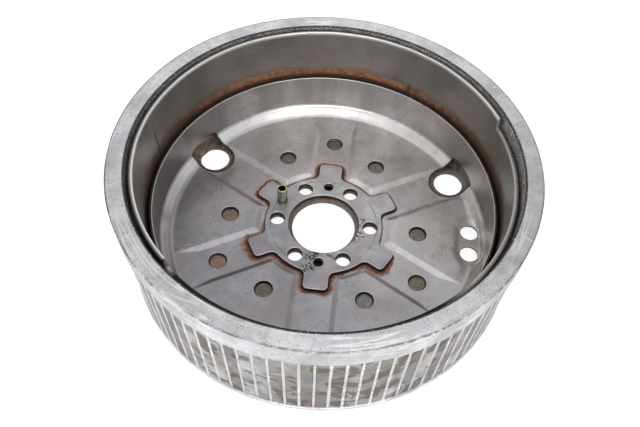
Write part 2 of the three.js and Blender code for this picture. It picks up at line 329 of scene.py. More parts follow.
def rounded_outline(corners, radii, spacing):
    """A closed [radius, z] outline with rounded corners and a point every spacing."""
    corners = [np.array(c, float) for c in corners]
    loop = []
    n = len(corners)
    for k in range(n):
        part = rounded_path([corners[k - 1], corners[k], corners[(k + 1) % n]], [radii[k]], steps=3)
        loop.extend(part[1:-1])
    return resampled(np.array(loop), spacing)


def seeds_on_hexes(reach, spacing):
    """Points on a grid of triangles, out to reach along x and y."""
    rows = int(reach / (spacing * 0.866)) + 1
    out = []
    for j in range(-rows, rows + 1):
        x = np.arange(-reach, reach, spacing) + (j % 2) * spacing / 2
        out.append(np.column_stack([x, np.full(len(x), j * spacing * 0.866)]))
    return np.concatenate(out)


def sheet_mesh(rim, holes, seeds, place, thickness, lip, clearance, wall_rows=0):
    """A sheet with rounded edges over a flat plan. rim runs anticlockwise and holes clockwise.

    place gives each plan point's place on the sheet's upper face and the direction out of that face.
    Gives the points, the faces, and each point's plan position and depth below the upper face.
    """
    loops = [rim, *holes]
    inner = [offset_loop(loop, lip) for loop in loops]
    keep = inside(seeds, inner[0])
    for loop in inner[1:]:
        keep &= ~inside(seeds, loop)
    seeds = seeds[keep]
    for loop in inner:
        seeds = seeds[distance_to(seeds, loop) > clearance]
    edges, start = [], 0
    for loop in inner:
        n = len(loop)
        edges.extend((start + k, start + (k + 1) % n) for k in range(n))
        start += n
    plan = np.concatenate([*inner, seeds])
    _, _, faces, origins, _, _ = delaunay_2d_cdt([Vector(p) for p in plan], edges, [], 0, 1e-7)
    index = [o[0] for o in origins]
    faces = np.array([[index[v] for v in f] for f in faces])
    middle = plan[faces].mean(1)
    keep = inside(middle, inner[0])
    for loop in inner[1:]:
        keep &= ~inside(middle, loop)
    faces = faces[keep]
    a, b, c = (plan[faces[:, k]] for k in range(3))
    turned = (b[:, 0] - a[:, 0]) * (c[:, 1] - a[:, 1]) < (b[:, 1] - a[:, 1]) * (c[:, 0] - a[:, 0])
    faces[turned] = faces[turned][:, ::-1]

    top, out = place(plan)
    count = len(plan)
    points = [top, top - out * thickness]
    plans = [plan, plan]
    depths = [np.zeros(count), np.full(count, thickness)]
    quads = [tuple(f) for f in faces] + [tuple(f[::-1] + count) for f in faces]
    total, start = 2 * count, 0
    turns = (30, 60, 90)
    rows = [(lip * (1 - math.sin(math.radians(t))), lip * (1 - math.cos(math.radians(t)))) for t in turns]
    below_rows = [(e, thickness - d) for e, d in rows[::-1]]
    rows += [(0.0, d) for d in np.linspace(lip, thickness - lip, wall_rows + 2)[1:-1]]
    rows += below_rows
    for loop in loops:
        n = len(loop)
        above = np.arange(start, start + n)
        for inset, depth in rows:
            at, out = place(offset_loop(loop, inset))
            points.append(at - out * depth)
            plans.append(loop)
            depths.append(np.full(n, depth))
            below = np.arange(total, total + n)
            total += n
            quads.extend(strip(above, below))
            above = below
        quads.extend(strip(above, np.arange(start, start + n) + count))
        start += n
    return np.concatenate(points), quads, np.concatenate(plans), np.concatenate(depths)


def strip(above, below):
    """Quads between two closed loops of point numbers."""
    n = len(above)
    return [(above[k], below[k], below[(k + 1) % n], above[(k + 1) % n]) for k in range(n)]


def meridian(corners, radii):
    """place() for a sheet whose upper face is a rounded path turned round Z, unrolled flat in the plan.

    Also gives the length of the path, and a function from a height on the wall to the length there.
    """
    path = rounded_path(corners, radii)
    step = np.linalg.norm(np.diff(path, axis=0), axis=1)
    length = np.concatenate([[0], np.cumsum(step)]) + path[0][0]
    tangent = np.gradient(path, length, axis=0)
    tangent /= np.linalg.norm(tangent, axis=1)[:, None]

    def place(plan, depth):
        s = radius_of(plan)
        r = np.interp(s, length, path[:, 0])
        z = np.interp(s, length, path[:, 1])
        tr = np.interp(s, length, tangent[:, 0])
        tz = np.interp(s, length, tangent[:, 1])
        ux, uy = plan[:, 0] / s, plan[:, 1] / s
        out = np.column_stack([-tz * ux, -tz * uy, tr])
        return np.column_stack([r * ux, r * uy, z]) - out * np.reshape(depth, (-1, 1)), out

    return place, length[-1], lambda z: float(np.interp(z, path[:, 1], length))


# ---- materials ----
class Nodes:
    """An empty node tree. Most methods add nodes and give back the socket to go on from."""

    def __init__(self, tree):
        self.tree = tree
        self.tree.nodes.clear()

    def add(self, kind, **settings):
        node = self.tree.nodes.new(kind)
        for key, value in settings.items():
            setattr(node, key, value)
        return node

    def put(self, socket, value):
        if isinstance(value, bpy.types.NodeSocket):
            self.tree.links.new(value, socket)
        else:
            socket.default_value = value

    def math(self, operation, a, b=0.0, clamp=False):
        node = self.add("ShaderNodeMath", operation=operation, use_clamp=clamp)
        self.put(node.inputs[0], a)
        self.put(node.inputs[1], b)
        return node.outputs[0]

    def times(self, a, b):
        return self.math("MULTIPLY", a, b)

    def plus(self, a, b, clamp=False):
        return self.math("ADD", a, b, clamp)

    def minus(self, a, b):
        return self.math("SUBTRACT", a, b)

    def most(self, a, b):
        return self.math("MAXIMUM", a, b)

    def gap(self, a, b):
        return self.math("ABSOLUTE", self.minus(a, b))

    def range(self, value, low, high, to_low=0.0, to_high=1.0, smooth=True):
        node = self.add("ShaderNodeMapRange", interpolation_type="SMOOTHSTEP" if smooth else "LINEAR")
        self.put(node.inputs["Value"], value)
        for key, amount in (("From Min", low), ("From Max", high), ("To Min", to_low), ("To Max", to_high)):
            node.inputs[key].default_value = amount
        return node.outputs["Result"]

    def mix(self, factor, a, b, blend="MIX"):
        node = self.add("ShaderNodeMix", data_type="RGBA", blend_type=blend)
        self.put(node.inputs["Factor"], factor)
        for socket, value in zip((node.inputs[6], node.inputs[7]), (a, b)):
            self.put(socket, (*value, 1) if isinstance(value, tuple) else value)
        return node.outputs[2]

    def parts_of(self, vector):
        node = self.add("ShaderNodeSeparateXYZ")
        self.put(node.inputs[0], vector)
        return node.outputs


class Finish(Nodes):
    """A material under construction, with colours laid over each other."""

    def __init__(self, name):
        self.material = bpy.data.materials.new(name)
        self.material.use_nodes = True
        super().__init__(self.material.node_tree)
        self.place = self.add("ShaderNodeTexCoord").outputs["Object"]

    def field(self, name):
        return self.add("ShaderNodeAttribute", attribute_name=name).outputs["Fac"]

    def split(self):
        return self.parts_of(self.place)

    def coat(self, amount, colour, blend="MIX"):
        """Lays a colour over the one so far."""
        self.colour = self.mix(amount, self.colour, colour, blend)

    def painted_light_grade(self, x, y, reach, front, back):
        """Painted light and shade: multiplies the colour so far by one that changes from the front left to
        the back right.
        """
        share = self.range(self.plus(self.times(x, 0.5), self.times(y, 0.85)), -reach * MM, reach * MM)
        self.coat(1.0, self.mix(share, front, back), blend="MULTIPLY")

    def patches(self, size, low, high, to_low=0, to_high=1, **noise):
        """Patches where a noise of that size goes from low to high."""
        return self.range(self.noise(size, **noise), low, high, to_low, to_high)

    def blotches(self, size, low, high, amount, colour, **noise):
        """Lays a colour over such patches."""
        self.coat(self.patches(size, low, high, 0, amount, **noise), colour)

    def polar(self, radius=0.15):
        """A vector of arc length at that radius, distance from the axis, and height, in metres."""
        x, y, z = self.split()
        angle = self.times(self.math("ARCTAN2", y, x), radius)
        reach = self.math("SQRT", self.plus(self.times(x, x), self.times(y, y)))
        node = self.add("ShaderNodeCombineXYZ")
        for socket, value in zip(node.inputs, (angle, reach, z)):
            self.put(socket, value)
        return node.outputs[0]

    def stretched(self, vector, scale, turn=(0, 0, 0), shift=(0, 0, 0)):
        node = self.add("ShaderNodeMapping")
        self.put(node.inputs["Vector"], vector)
        node.inputs["Scale"].default_value = scale
        node.inputs["Rotation"].default_value = turn
        node.inputs["Location"].default_value = shift
        return node.outputs[0]

    def noise(self, size, detail=4, rough=0.55, vector=None, distortion=0.0, shift=0.0):
        """Noise from 0 to 1 with features about size millimetres wide."""
        node = self.add("ShaderNodeTexNoise")
        vector = self.place if vector is None else vector
        if shift:
            vector = self.stretched(vector, (1, 1, 1), shift=(shift, shift * 0.7, -shift))
        self.put(node.inputs["Vector"], vector)
        node.inputs["Scale"].default_value = 1 / (size * MM)
        node.inputs["Detail"].default_value = detail
        node.inputs["Roughness"].default_value = rough
        node.inputs["Distortion"].default_value = distortion
        return node.outputs["Fac"]

    def cells(self, size, shift):
        """Distance to the nearest of many scattered spots, about size millimetres apart."""
        node = self.add("ShaderNodeTexVoronoi")
        vector = self.stretched(self.place, (1, 1, 1), shift=(shift, -shift, shift * 0.3))
        self.put(node.inputs["Vector"], vector)
        node.inputs["Scale"].default_value = 1 / (size * MM)
        return node.outputs["Distance"]

    def hairlines(self, size, width, vector=None, shift=0.0, distortion=0.4):
        """Thin wandering scratches: 1 on a line and 0 away from it."""
        n = self.noise(size, detail=1, rough=0.4, vector=vector, distortion=distortion, shift=shift)
        off = self.gap(n, 0.5)
        return self.range(off, 0.0, width, 1.0, 0.0)

    def near(self, spots):
        """1 at the listed places and 0 away from them. Each is x, y and radius, in millimetres."""
        x, y, _ = self.split()
        total = None
        for sx, sy, radius in spots:
            dx = self.minus(x, sx * MM)
            dy = self.minus(y, sy * MM)
            d = self.math("SQRT", self.plus(self.times(dx, dx), self.times(dy, dy)))
            mark = self.range(d, 0.0, radius * MM, 1.0, 0.0, smooth=False)
            total = mark if total is None else self.most(total, mark)
        return total

    def finish(self, metallic, roughness, relief=(), specular=0.5, glow=0.0, tint=1.0):
        """Closes the material. relief is a list of (height socket, millimetres)."""
        shader = self.add("ShaderNodeBsdfPrincipled")
        self.put(shader.inputs["Base Color"], self.colour)
        self.put(shader.inputs["Metallic"], metallic)
        self.put(shader.inputs["Roughness"], roughness)
        shader.inputs["Specular IOR Level"].default_value = specular
        shader.inputs["Specular Tint"].default_value = (tint, tint, tint, 1)
        if glow:
            shader.inputs["Emission Color"].default_value = (1, 1, 1, 1)
            shader.inputs["Emission Strength"].default_value = glow
        normal = None
        for height, size in relief:
            bump = self.add("ShaderNodeBump")
            bump.inputs["Strength"].default_value = 1.0
            bump.inputs["Distance"].default_value = size * MM
            self.put(bump.inputs["Height"], height)
            if normal is not None:
                self.put(bump.inputs["Normal"], normal)
            normal = bump.outputs["Normal"]
        if normal is not None:
            self.put(shader.inputs["Normal"], normal)
        out = self.add("ShaderNodeOutputMaterial")
        self.put(out.inputs["Surface"], shader.outputs[0])
        return self.material


def cast_aluminium():
    """Scratched and pitted where it was turned, rough where it was left as cast."""
    f = Finish("cast_aluminium")
    around = f.polar()
    clouds = f.noise(24, detail=6, rough=0.66)
    f.colour = f.mix(f.range(clouds, 0.34, 0.66), (0.59, 0.59, 0.615), (0.78, 0.78, 0.80))
    f.blotches(4.5, 0.48, 0.66, 0.38, (0.43, 0.435, 0.45), detail=5, rough=0.7, shift=0.4)
    fine = f.noise(0.8, detail=3, rough=0.7)
    f.coat(f.range(fine, 0.45, 0.7, 0, 0.30), (0.38, 0.38, 0.39))
    # turning marks run round the part
    lines = f.noise(1.0, detail=3, rough=0.7, vector=f.stretched(around, (0.02, 1.6, 1.6)))
    f.coat(f.range(lines, 0.4, 0.7, 0, 0.25), (0.44, 0.44, 0.46))
    # casting pores and nicks
    pores = f.patches(0.9, 0.60, 0.68, detail=2)
    pores = f.times(pores, f.patches(11, 0.47, 0.60, detail=3, shift=0.3))
    nicks = f.range(f.cells(4.4, shift=0.11), 0.12, 0.05)
    nicks = f.times(nicks, f.patches(22, 0.47, 0.55, detail=1, shift=0.7))
    holes = f.most(pores, nicks)
    # a broken dark line along the outer edge
    broken = f.patches(2.6, 0.40, 0.52, detail=4, rough=0.7, shift=2.4)
    patchy = f.patches(34, 0.36, 0.50, 0.4, 1.0, detail=2, shift=1.6)
    at_edge = f.times(f.times(f.field("edge"), broken), patchy)
    holes = f.most(holes, at_edge)
    f.coat(f.times(holes, 0.85), (0.13, 0.125, 0.12))
    # scratches both ways, and long ones on five stretches of the ring
    scratch, crossed, long_marks, second = (
        f.hairlines(size, width, vector=f.stretched(around, scale, turn=(0, 0, turn)), shift=shift)
        for size, width, scale, turn, shift in (
            (26, 0.008, (0.07, 1, 1), 0.12, 0.2),
            (15, 0.007, (1.0, 0.12, 1), 0.5, 0.5),
            (6, 0.035, (0.05, 1, 1), 0.05, 1.2),
            (8, 0.025, (0.05, 1, 1), -0.08, 2.7),
        )
    )
    scratch = f.times(f.most(scratch, crossed), f.patches(30, 0.40, 0.55, detail=2, shift=0.9))
    places = [(-84, -126, 50), (-118, -92, 30), (40, -146, 28), (-20, 150, 26), (142, -52, 24)]
    here = f.range(f.near(places), 0.0, 0.4)
    scratch = f.most(scratch, f.times(f.most(long_marks, second), here))
    f.coat(f.times(scratch, 0.75), (0.95, 0.95, 0.97))
    f.blotches(40, 0.54, 0.68, 0.40, (0.40, 0.39, 0.375), detail=4, rough=0.65, shift=1.3)
    # painted light and shade: the end ring's brightness by angle, kept on the mesh, stands in for how the
    # light falls round the part
    f.coat(1.0, f.field("shade"), blend="MULTIPLY")
    grit = f.noise(1.1, detail=4, rough=0.72, shift=0.8)
    rough_skin = f.mix(f.range(grit, 0.42, 0.60), (0.24, 0.235, 0.23), (0.92, 0.91, 0.90))
    bore = f.range(f.field("bore"), 0.35, 0.65)
    f.coat(bore, rough_skin)
    # painted shade: a black line along the inner edge, where the edge's shadow falls, and white chips in it
    lip = f.range(f.plus(f.field("lip"), f.times(f.noise(1.5, detail=3), 0.35)), 0.45, 0.75)
    chips = f.patches(1.3, 0.64, 0.70, detail=2, shift=3.3)
    f.coat(f.times(lip, 0.93), f.mix(chips, (0.015, 0.014, 0.014), (0.7, 0.7, 0.7)))
    roughness = f.plus(f.range(clouds, 0.3, 0.7, 0.38, 0.50), f.range(fine, 0.4, 0.8, 0, 0.16))
    relief = [(f.minus(0.0, holes), 0.35), (lines, 0.03), (fine, 0.06), (scratch, 0.03)]
    relief.append((f.times(grit, bore), 0.7))
    metallic = f.range(lip, 0, 1, 0.92, 0.2)
    return f.finish(metallic, roughness, relief, tint=0.5)


def lamination_steel():
    """Sheared sheet edges, with a tone of their own between every two bars."""
    f = Finish("lamination_steel")
    around = f.polar()
    x, y, z = f.split()
    clouds = f.noise(20, detail=5, rough=0.65, vector=f.stretched(around, (1, 1, 0.8)))
    f.colour = f.mix(f.range(clouds, 0.34, 0.66), (0.37, 0.365, 0.36), (0.54, 0.535, 0.53))
    # every stretch between two bars has its own tone
    turn = f.times(f.math("ARCTAN2", y, x), BARS / TAU)
    cell = f.add("ShaderNodeTexWhiteNoise", noise_dimensions="1D")
    f.put(cell.inputs["W"], f.math("FLOOR", turn))
    tone = f.range(cell.outputs["Value"], 0.0, 1.0, 0.58, 1.12, smooth=False)
    f.coat(1.0, tone, blend="MULTIPLY")
    f.blotches(27, 0.50, 0.60, 0.65, (0.245, 0.19, 0.165), detail=4, rough=0.62, shift=0.4)
    f.blotches(24, 0.54, 0.64, 0.45, (0.22, 0.195, 0.235), detail=4, shift=0.8)
    f.blotches(20, 0.58, 0.68, 0.45, (0.29, 0.31, 0.18), detail=4, shift=1.7)
    sheets = f.noise(0.65, detail=1, vector=f.stretched(around, (0.01, 0.01, 1)))
    f.coat(f.range(sheets, 0.4, 0.7, 0, 0.16), (0.17, 0.165, 0.16))
    # dark smears and long curved scratches, strongest at the front: the dark smears are partly smears on the
    # sheets and partly painted reflection
    front = f.range(f.near([(-28, -154, 62), (14, -156, 70), (60, -145, 60)]), 0.0, 0.45)
    squeezed = f.stretched(around, (0.8, 1, 1.0))
    smear_and_reflection = f.noise(17, detail=2, rough=0.5, vector=squeezed, shift=0.6, distortion=0.9)
    smear_and_reflection = f.times(f.range(smear_and_reflection, 0.53, 0.57), f.range(front, 0, 1, 0.15, 0.75))
    f.coat(smear_and_reflection, (0.135, 0.115, 0.10))
    marks = f.hairlines(34, 0.012, vector=f.stretched(around, (0.6, 1, 1.3)), shift=0.9, distortion=1.6)
    marks = f.times(marks, f.range(front, 0, 1, 0.10, 0.55))
    f.coat(marks, (0.10, 0.085, 0.075))
    pale = f.hairlines(38, 0.012, vector=f.stretched(around, (0.4, 1, 1.4)), shift=2.1, distortion=0.9)
    f.coat(f.times(pale, f.range(front, 0, 1, 0.1, 0.5)), (0.55, 0.55, 0.54))
    # shade and dirt under the end ring
    lip = f.plus(z, f.times(f.noise(2.2, detail=4, rough=0.7, shift=0.3), 0.0022))
    under = f.range(lip, (STACK_TOP - 0.7) * MM, (STACK_TOP + 0.7) * MM)
    f.coat(f.times(under, 0.85), (0.05, 0.045, 0.04))
    roughness = f.range(clouds, 0.3, 0.7, 0.38, 0.50)
    return f.finish(0.9, roughness, [(sheets, 0.02), (smear_and_reflection, 0.03)], tint=0.55)


def sleeve_steel():
    """Dark drawn steel with a band of rust above the dish."""
    f = Finish("sleeve_steel")
    around = f.polar()
    _, _, z = f.split()
    clouds = f.noise(30, detail=4, rough=0.6)
    f.colour = f.mix(f.range(clouds, 0.3, 0.7), (0.215, 0.19, 0.175), (0.31, 0.285, 0.268))
    lines = f.noise(0.7, detail=3, rough=0.7, vector=f.stretched(around, (0.02, 0.3, 1.4)))
    f.coat(f.range(lines, 0.4, 0.7, 0, 0.22), (0.12, 0.11, 0.10))
    # painted shade: the wall is darkened at two stretches at the back left, where it lies in shade
    sleeve_painted_shade = f.range(f.near([(-24, 134, 56), (-122, 62, 44)]), 0.0, 0.6, 0, 0.40)
    f.coat(sleeve_painted_shade, (0.12, 0.108, 0.10))
    # a band of rust with a soft ragged top, where the dish holds water against the wall
    ragged = f.times(f.minus(f.noise(13, detail=6, rough=0.68), 0.5), 0.013)
    height = f.plus(z, ragged)
    band = f.range(height, RUST_TOP * MM, (RUST_TOP - 5) * MM)
    stain = f.range(height, (RUST_TOP + 5) * MM, (RUST_TOP - 4) * MM, 0, 0.5)
    share = f.field("rusty")
    fine = f.patches(2.2, 0.35, 0.65, detail=6, rough=0.7, shift=0.6)
    deep = f.mix(fine, (0.032, 0.014, 0.011), (0.085, 0.033, 0.022))
    coarse = f.patches(5, 0.36, 0.62, detail=6, rough=0.7)
    orange = f.mix(coarse, (0.13, 0.050, 0.028), (0.30, 0.118, 0.045))
    rust = f.mix(f.range(f.plus(share, f.noise(9, detail=3, shift=1.9)), 0.85, 1.30), deep, orange)
    f.coat(stain, (0.20, 0.125, 0.085))
    f.coat(f.times(band, 0.92), rust)
    spots = f.times(f.patches(1.7, 0.66, 0.72, detail=4, shift=2.2), 0.7)
    f.coat(spots, (0.12, 0.065, 0.04))
    # the seam, and a small scar in the rust
    seam_x, seam_y = polar(SLEEVE_INNER_R, SEAM_ANGLE)
    seam = f.times(f.near([(seam_x, seam_y, 1.1)]), f.range(z, SEAM_TOP * MM, (SEAM_TOP - 2) * MM))
    scar_x, scar_y = polar(SLEEVE_INNER_R, SCAR_ANGLE)
    scar = f.times(f.near([(scar_x, scar_y, 3.2)]), f.range(z, RUST_TOP * MM, (RUST_TOP - 4) * MM))
    scar = f.times(scar, f.patches(1.4, 0.35, 0.5, detail=3, shift=0.5))
    marks = f.range(f.most(seam, scar), 0.15, 0.6, 0, 0.85)
    f.coat(marks, (0.03, 0.022, 0.018))
    # painted shade darkens the wall where the dish meets it, as a shadow line above the dish's rim, and a
    # painted highlight makes the rim bright
    dish_edge_shadow = f.range(z, SHADOW_LINE_TOP * MM, (SHADOW_LINE_TOP - 3.5) * MM, 0, 0.85)
    f.coat(dish_edge_shadow, (0.018, 0.010, 0.008))
    f.coat(f.field("rim"), (0.88, 0.88, 0.86))
    # painted shade: the outer half of the rim and its front are painted black
    f.coat(f.field("rim_painted_shade"), (0.02, 0.018, 0.017))
    metallic = f.range(band, 0, 1, 0.9, 0.10)
    roughness = f.plus(f.range(clouds, 0.3, 0.7, 0.30, 0.42), f.times(band, 0.45), clamp=True)
    return f.finish(metallic, roughness, [(lines, 0.03), (f.times(band, f.noise(0.8, detail=4)), 0.25)])


def dish_steel():
    """Pressed sheet, with rust round the hub plate, painted light and shade, and cut edges painted black as
    shade.
    """
    f = Finish("dish_steel")
    around = f.polar(0.1)
    x, y, z = f.split()
    clouds = f.noise(38, detail=5, rough=0.62)
    f.colour = f.mix(f.range(clouds, 0.3, 0.7), (0.40, 0.395, 0.40), (0.57, 0.565, 0.57))
    mottle = f.noise(7, detail=5, rough=0.7, shift=0.5)
    f.coat(f.range(mottle, 0.5, 0.75, 0, 0.32), (0.32, 0.31, 0.305))
    grain = f.noise(0.55, detail=2, rough=0.6)
    f.coat(f.range(grain, 0.45, 0.75, 0, 0.18), (0.25, 0.25, 0.25))
    f.blotches(52, 0.50, 0.64, 0.40, (0.42, 0.395, 0.365), detail=3, shift=1.9)
    # painted light and shade: the dish is darker and cooler at the front left, lighter and warmer at the
    # back right
    f.painted_light_grade(x, y, 85, (0.79, 0.765, 0.815), (1.25, 1.215, 1.20))
    # the wall above the slope is darker, with drawn streaks; painted light lightens it at two places and
    # painted shade darkens it at three others
    wall = f.range(z, (SLOPE_TOP - 1) * MM, (SLOPE_TOP + 2.5) * MM)
    drawn = f.noise(9, detail=3, rough=0.5, vector=f.stretched(around, (1, 1, 0.08)), shift=0.9)
    wall_painted_light = f.range(f.near([(66, 114, 52), (-88, 102, 26)]), 0.0, 0.6, 0.08, -0.30)
    wall_painted_shade = f.range(f.near([(-130, 26, 44), (130, 12, 34), (-22, 132, 26)]), 0.0, 0.5, 0, 0.14)
    wall_tone = f.plus(f.range(drawn, 0.3, 0.7, 0.50, 0.62), f.plus(wall_painted_light, wall_painted_shade))
    f.coat(f.times(wall, wall_tone), (0.15, 0.14, 0.135))
    # painted highlight: a bright line along the top edge of the wall
    top = f.range(z, (DISH_TOP - 0.55) * MM, (DISH_TOP - 0.15) * MM)
    f.coat(top, (0.86, 0.82, 0.76))
    # painted highlight: the slope is lightened at four places on the left, where it catches the light
    places = [(-126, 20, 42), (-122, -40, 34), (-98, 82, 34), (-62, 112, 40)]
    slope_painted_highlight = f.range(f.near(places), 0.0, 0.5, 0, 0.55)
    slope_painted_highlight = f.times(slope_painted_highlight, f.range(z, (PAD_FLOOR + 1) * MM, (PAD_FLOOR + 2.5) * MM))
    slope_painted_highlight = f.times(slope_painted_highlight, f.range(z, (SLOPE_TOP + 2.5) * MM, (SLOPE_TOP + 0.5) * MM))
    f.coat(slope_painted_highlight, (0.86, 0.86, 0.87))
    specks = f.range(f.cells(4.2, shift=0.3), 0.15, 0.07)
    specks = f.times(specks, f.patches(24, 0.50, 0.58, detail=2, shift=0.2))
    f.coat(specks, (0.09, 0.08, 0.075))
    # small scuffs and half-moon marks on the floor, mostly at the front
    scuffs = f.hairlines(5.5, 0.03, shift=4.1, distortion=0.9)
    scuffs = f.times(scuffs, f.patches(17, 0.56, 0.63, 0, 0.6, detail=3, shift=2.9))
    f.coat(scuffs, (0.20, 0.19, 0.185))
    f.blotches(13, 0.56, 0.68, 0.35, (0.29, 0.275, 0.255), detail=4, rough=0.6, shift=5.2)
    # rust spreads out from the edge of the hub plate: tan outside, orange within, and black at the joint,
    # where painted shadow of the plate also falls, wider behind the plate
    shape = f.noise(5.0, detail=6, rough=0.66, shift=0.8)
    halo = f.plus(f.field("halo"), f.times(f.minus(shape, 0.5), 1.5))
    tan = f.range(halo, 1.05, 0.80, 0, 0.85)
    rust = f.range(halo, 0.85, 0.55)
    joint_and_shade = f.range(f.plus(f.field("joint_and_shade"), f.times(f.noise(2, detail=4), 0.6)), 1.15, 0.55)
    joint_and_shade = f.times(joint_and_shade, 0.92)
    fine = f.patches(2.6, 0.40, 0.62, detail=6, rough=0.7, shift=0.7)
    orange = f.mix(fine, (0.13, 0.055, 0.036), (0.50, 0.215, 0.095))
    f.coat(tan, f.mix(f.noise(6, detail=4), (0.34, 0.215, 0.18), (0.46, 0.29, 0.21)))
    near_joint = f.range(f.plus(f.field("halo"), f.times(shape, 0.4)), 0.75, 0.40, 0, 0.85)
    orange = f.mix(near_joint, orange, (0.085, 0.036, 0.026))
    f.coat(f.times(rust, 0.88), orange)
    f.coat(joint_and_shade, (0.035, 0.022, 0.016))
    # painted shade: the sheared edges are painted black, and so is a narrow line round them on the face,
    # where the gap below lies in shade
    side = f.range(f.field("depth"), 0.22, 0.55)
    outline = f.plus(f.field("from_cut"), f.times(f.noise(4, detail=3), 0.7))
    f.coat(f.range(outline, 1.95, 1.45, 0, 0.9), (0.030, 0.026, 0.023))
    f.coat(side, f.mix(f.noise(1.8, detail=4), (0.012, 0.010, 0.009), (0.06, 0.042, 0.032)))
    scratch = f.hairlines(30, 0.004, shift=0.35)
    scratch = f.times(scratch, f.patches(30, 0.5, 0.6, detail=2, shift=3.1))
    f.coat(f.times(scratch, 0.4), (0.72, 0.72, 0.72))
    dull = f.most(f.most(rust, side), f.most(tan, joint_and_shade))
    metallic = f.range(dull, 0, 1, 0.92, 0.12)
    roughness = f.plus(f.range(clouds, 0.3, 0.7, 0.34, 0.43), f.times(dull, 0.4), clamp=True)
    relief = [(grain, 0.025), (mottle, 0.06), (f.times(rust, f.noise(0.7, detail=4)), 0.22)]
    return f.finish(metallic, roughness, relief)


def hub_steel():
    """A ground plate with stray marks, a scribed circle, painted light and shade, and hole walls painted
    dark as shade.
    """
    f = Finish("hub_steel")
    around = f.polar(0.045)
    x, y, _ = f.split()
    clouds = f.noise(16, detail=5, rough=0.6)
    f.colour = f.mix(f.range(clouds, 0.3, 0.7), (0.36, 0.36, 0.37), (0.49, 0.49, 0.50))
    grain = f.noise(0.5, detail=2, rough=0.6)
    f.coat(f.range(grain, 0.45, 0.75, 0, 0.2), (0.30, 0.30, 0.30))
    lines = f.noise(0.6, detail=2, vector=f.stretched(around, (0.03, 1, 1)))
    f.coat(f.range(lines, 0.42, 0.7, 0, 0.14), (0.28, 0.28, 0.28))
    f.blotches(20, 0.50, 0.62, 0.35, (0.66, 0.66, 0.66), detail=3, shift=0.9)
    # painted light and shade: the plate is darker at the front left and lighter at the back right
    f.painted_light_grade(x, y, 45, (0.84, 0.815, 0.85), (1.26, 1.225, 1.23))
    # the scribed circle is bright on one side and dirty on the other
    scribed = f.range(f.gap(f.field("reach"), SCRIBED_R), 0.55, 0.2)
    dirty = f.patches(18, 0.42, 0.55, 0.15, 0.75, detail=2, shift=0.35)
    f.coat(f.times(scribed, dirty), (0.16, 0.155, 0.15))
    red = f.near([(31, 7, 5), (29, 1, 3.5), (27.5, -13, 5.5), (9, -30.5, 4.5), (16, -33, 4), (0, -31.5, 4)])
    red = f.times(f.range(red, 0.02, 0.4), f.patches(1.7, 0.50, 0.57, detail=3, rough=0.6, shift=0.6))
    f.coat(red, (0.15, 0.03, 0.028))
    marks = [(-4, -34, 6.5), (-9, -35, 4), (-5, -44.5, 6), (-12, -48, 4.5)]
    marks += [(13, -36, 4.5), (29, -7, 4), (33, -9, 3.5)]
    black = f.near(marks)
    black = f.times(f.range(black, 0.02, 0.4), f.patches(1.8, 0.50, 0.56, detail=3, shift=1.1))
    f.coat(black, (0.035, 0.03, 0.028))
    olive = f.range(f.near([(-38, 14, 9), (-40, 22, 8)]), 0.0, 0.8, 0, 0.4)
    f.coat(olive, (0.34, 0.36, 0.28))
    washer = f.range(f.gap(f.field("from_cut"), 2.2), 0.8, 0.2, 0, 0.18)
    f.coat(washer, (0.24, 0.235, 0.23))
    # painted highlight: a bright line along the top of the cut edges, strongest at the front
    edge_painted_highlight = f.range(f.field("from_cut"), 0.75, 0.4, 0, 0.60)
    edge_painted_highlight = f.times(edge_painted_highlight, f.range(f.field("depth"), 0.45, 0.25))
    front = f.range(y, -0.012, -0.030, 0.25, 1.0)
    f.coat(f.times(edge_painted_highlight, front), (0.86, 0.86, 0.85))
    edge = f.plus(f.field("from_cut"), f.times(f.noise(3, detail=5), 1.1))
    edge = f.times(f.range(edge, 0.95, 0.55), f.field("rusty"))
    f.coat(f.times(edge, 0.5), (0.30, 0.17, 0.11))
    # painted shade: the cut sides are painted nearly black, as if in shade, and brown where water stood
    side = f.range(f.field("depth"), 0.40, 0.85)
    damp = f.patches(3.4, 0.40, 0.62, detail=5, rough=0.66, shift=0.4)
    brown = f.mix(damp, (0.014, 0.011, 0.010), (0.070, 0.038, 0.028))
    # painted glints: the thread walls of the jack holes are striped bright and dark along the thread
    jacks = [(*polar(CRANK_BOLT_R, a), JACK_HOLE_R + 1.2) for a in JACK_ANGLES]
    thread = f.range(f.near(jacks), 0.02, 0.10)
    turns = f.math("SINE", f.times(f.field("depth"), TAU))
    brown = f.mix(thread, brown, f.mix(f.range(turns, -0.5, 0.2), (0.04, 0.038, 0.036), (0.95, 0.93, 0.91)))
    f.coat(side, brown)
    metallic = f.range(f.times(side, f.minus(1.0, thread)), 0, 1, 0.92, 0.35)
    roughness = f.plus(f.range(clouds, 0.3, 0.7, 0.33, 0.43), f.times(side, 0.2), clamp=True)
    relief = [(grain, 0.02), (lines, 0.02), (f.most(red, black), 0.06)]
    return f.finish(metallic, roughness, relief, tint=0.45)


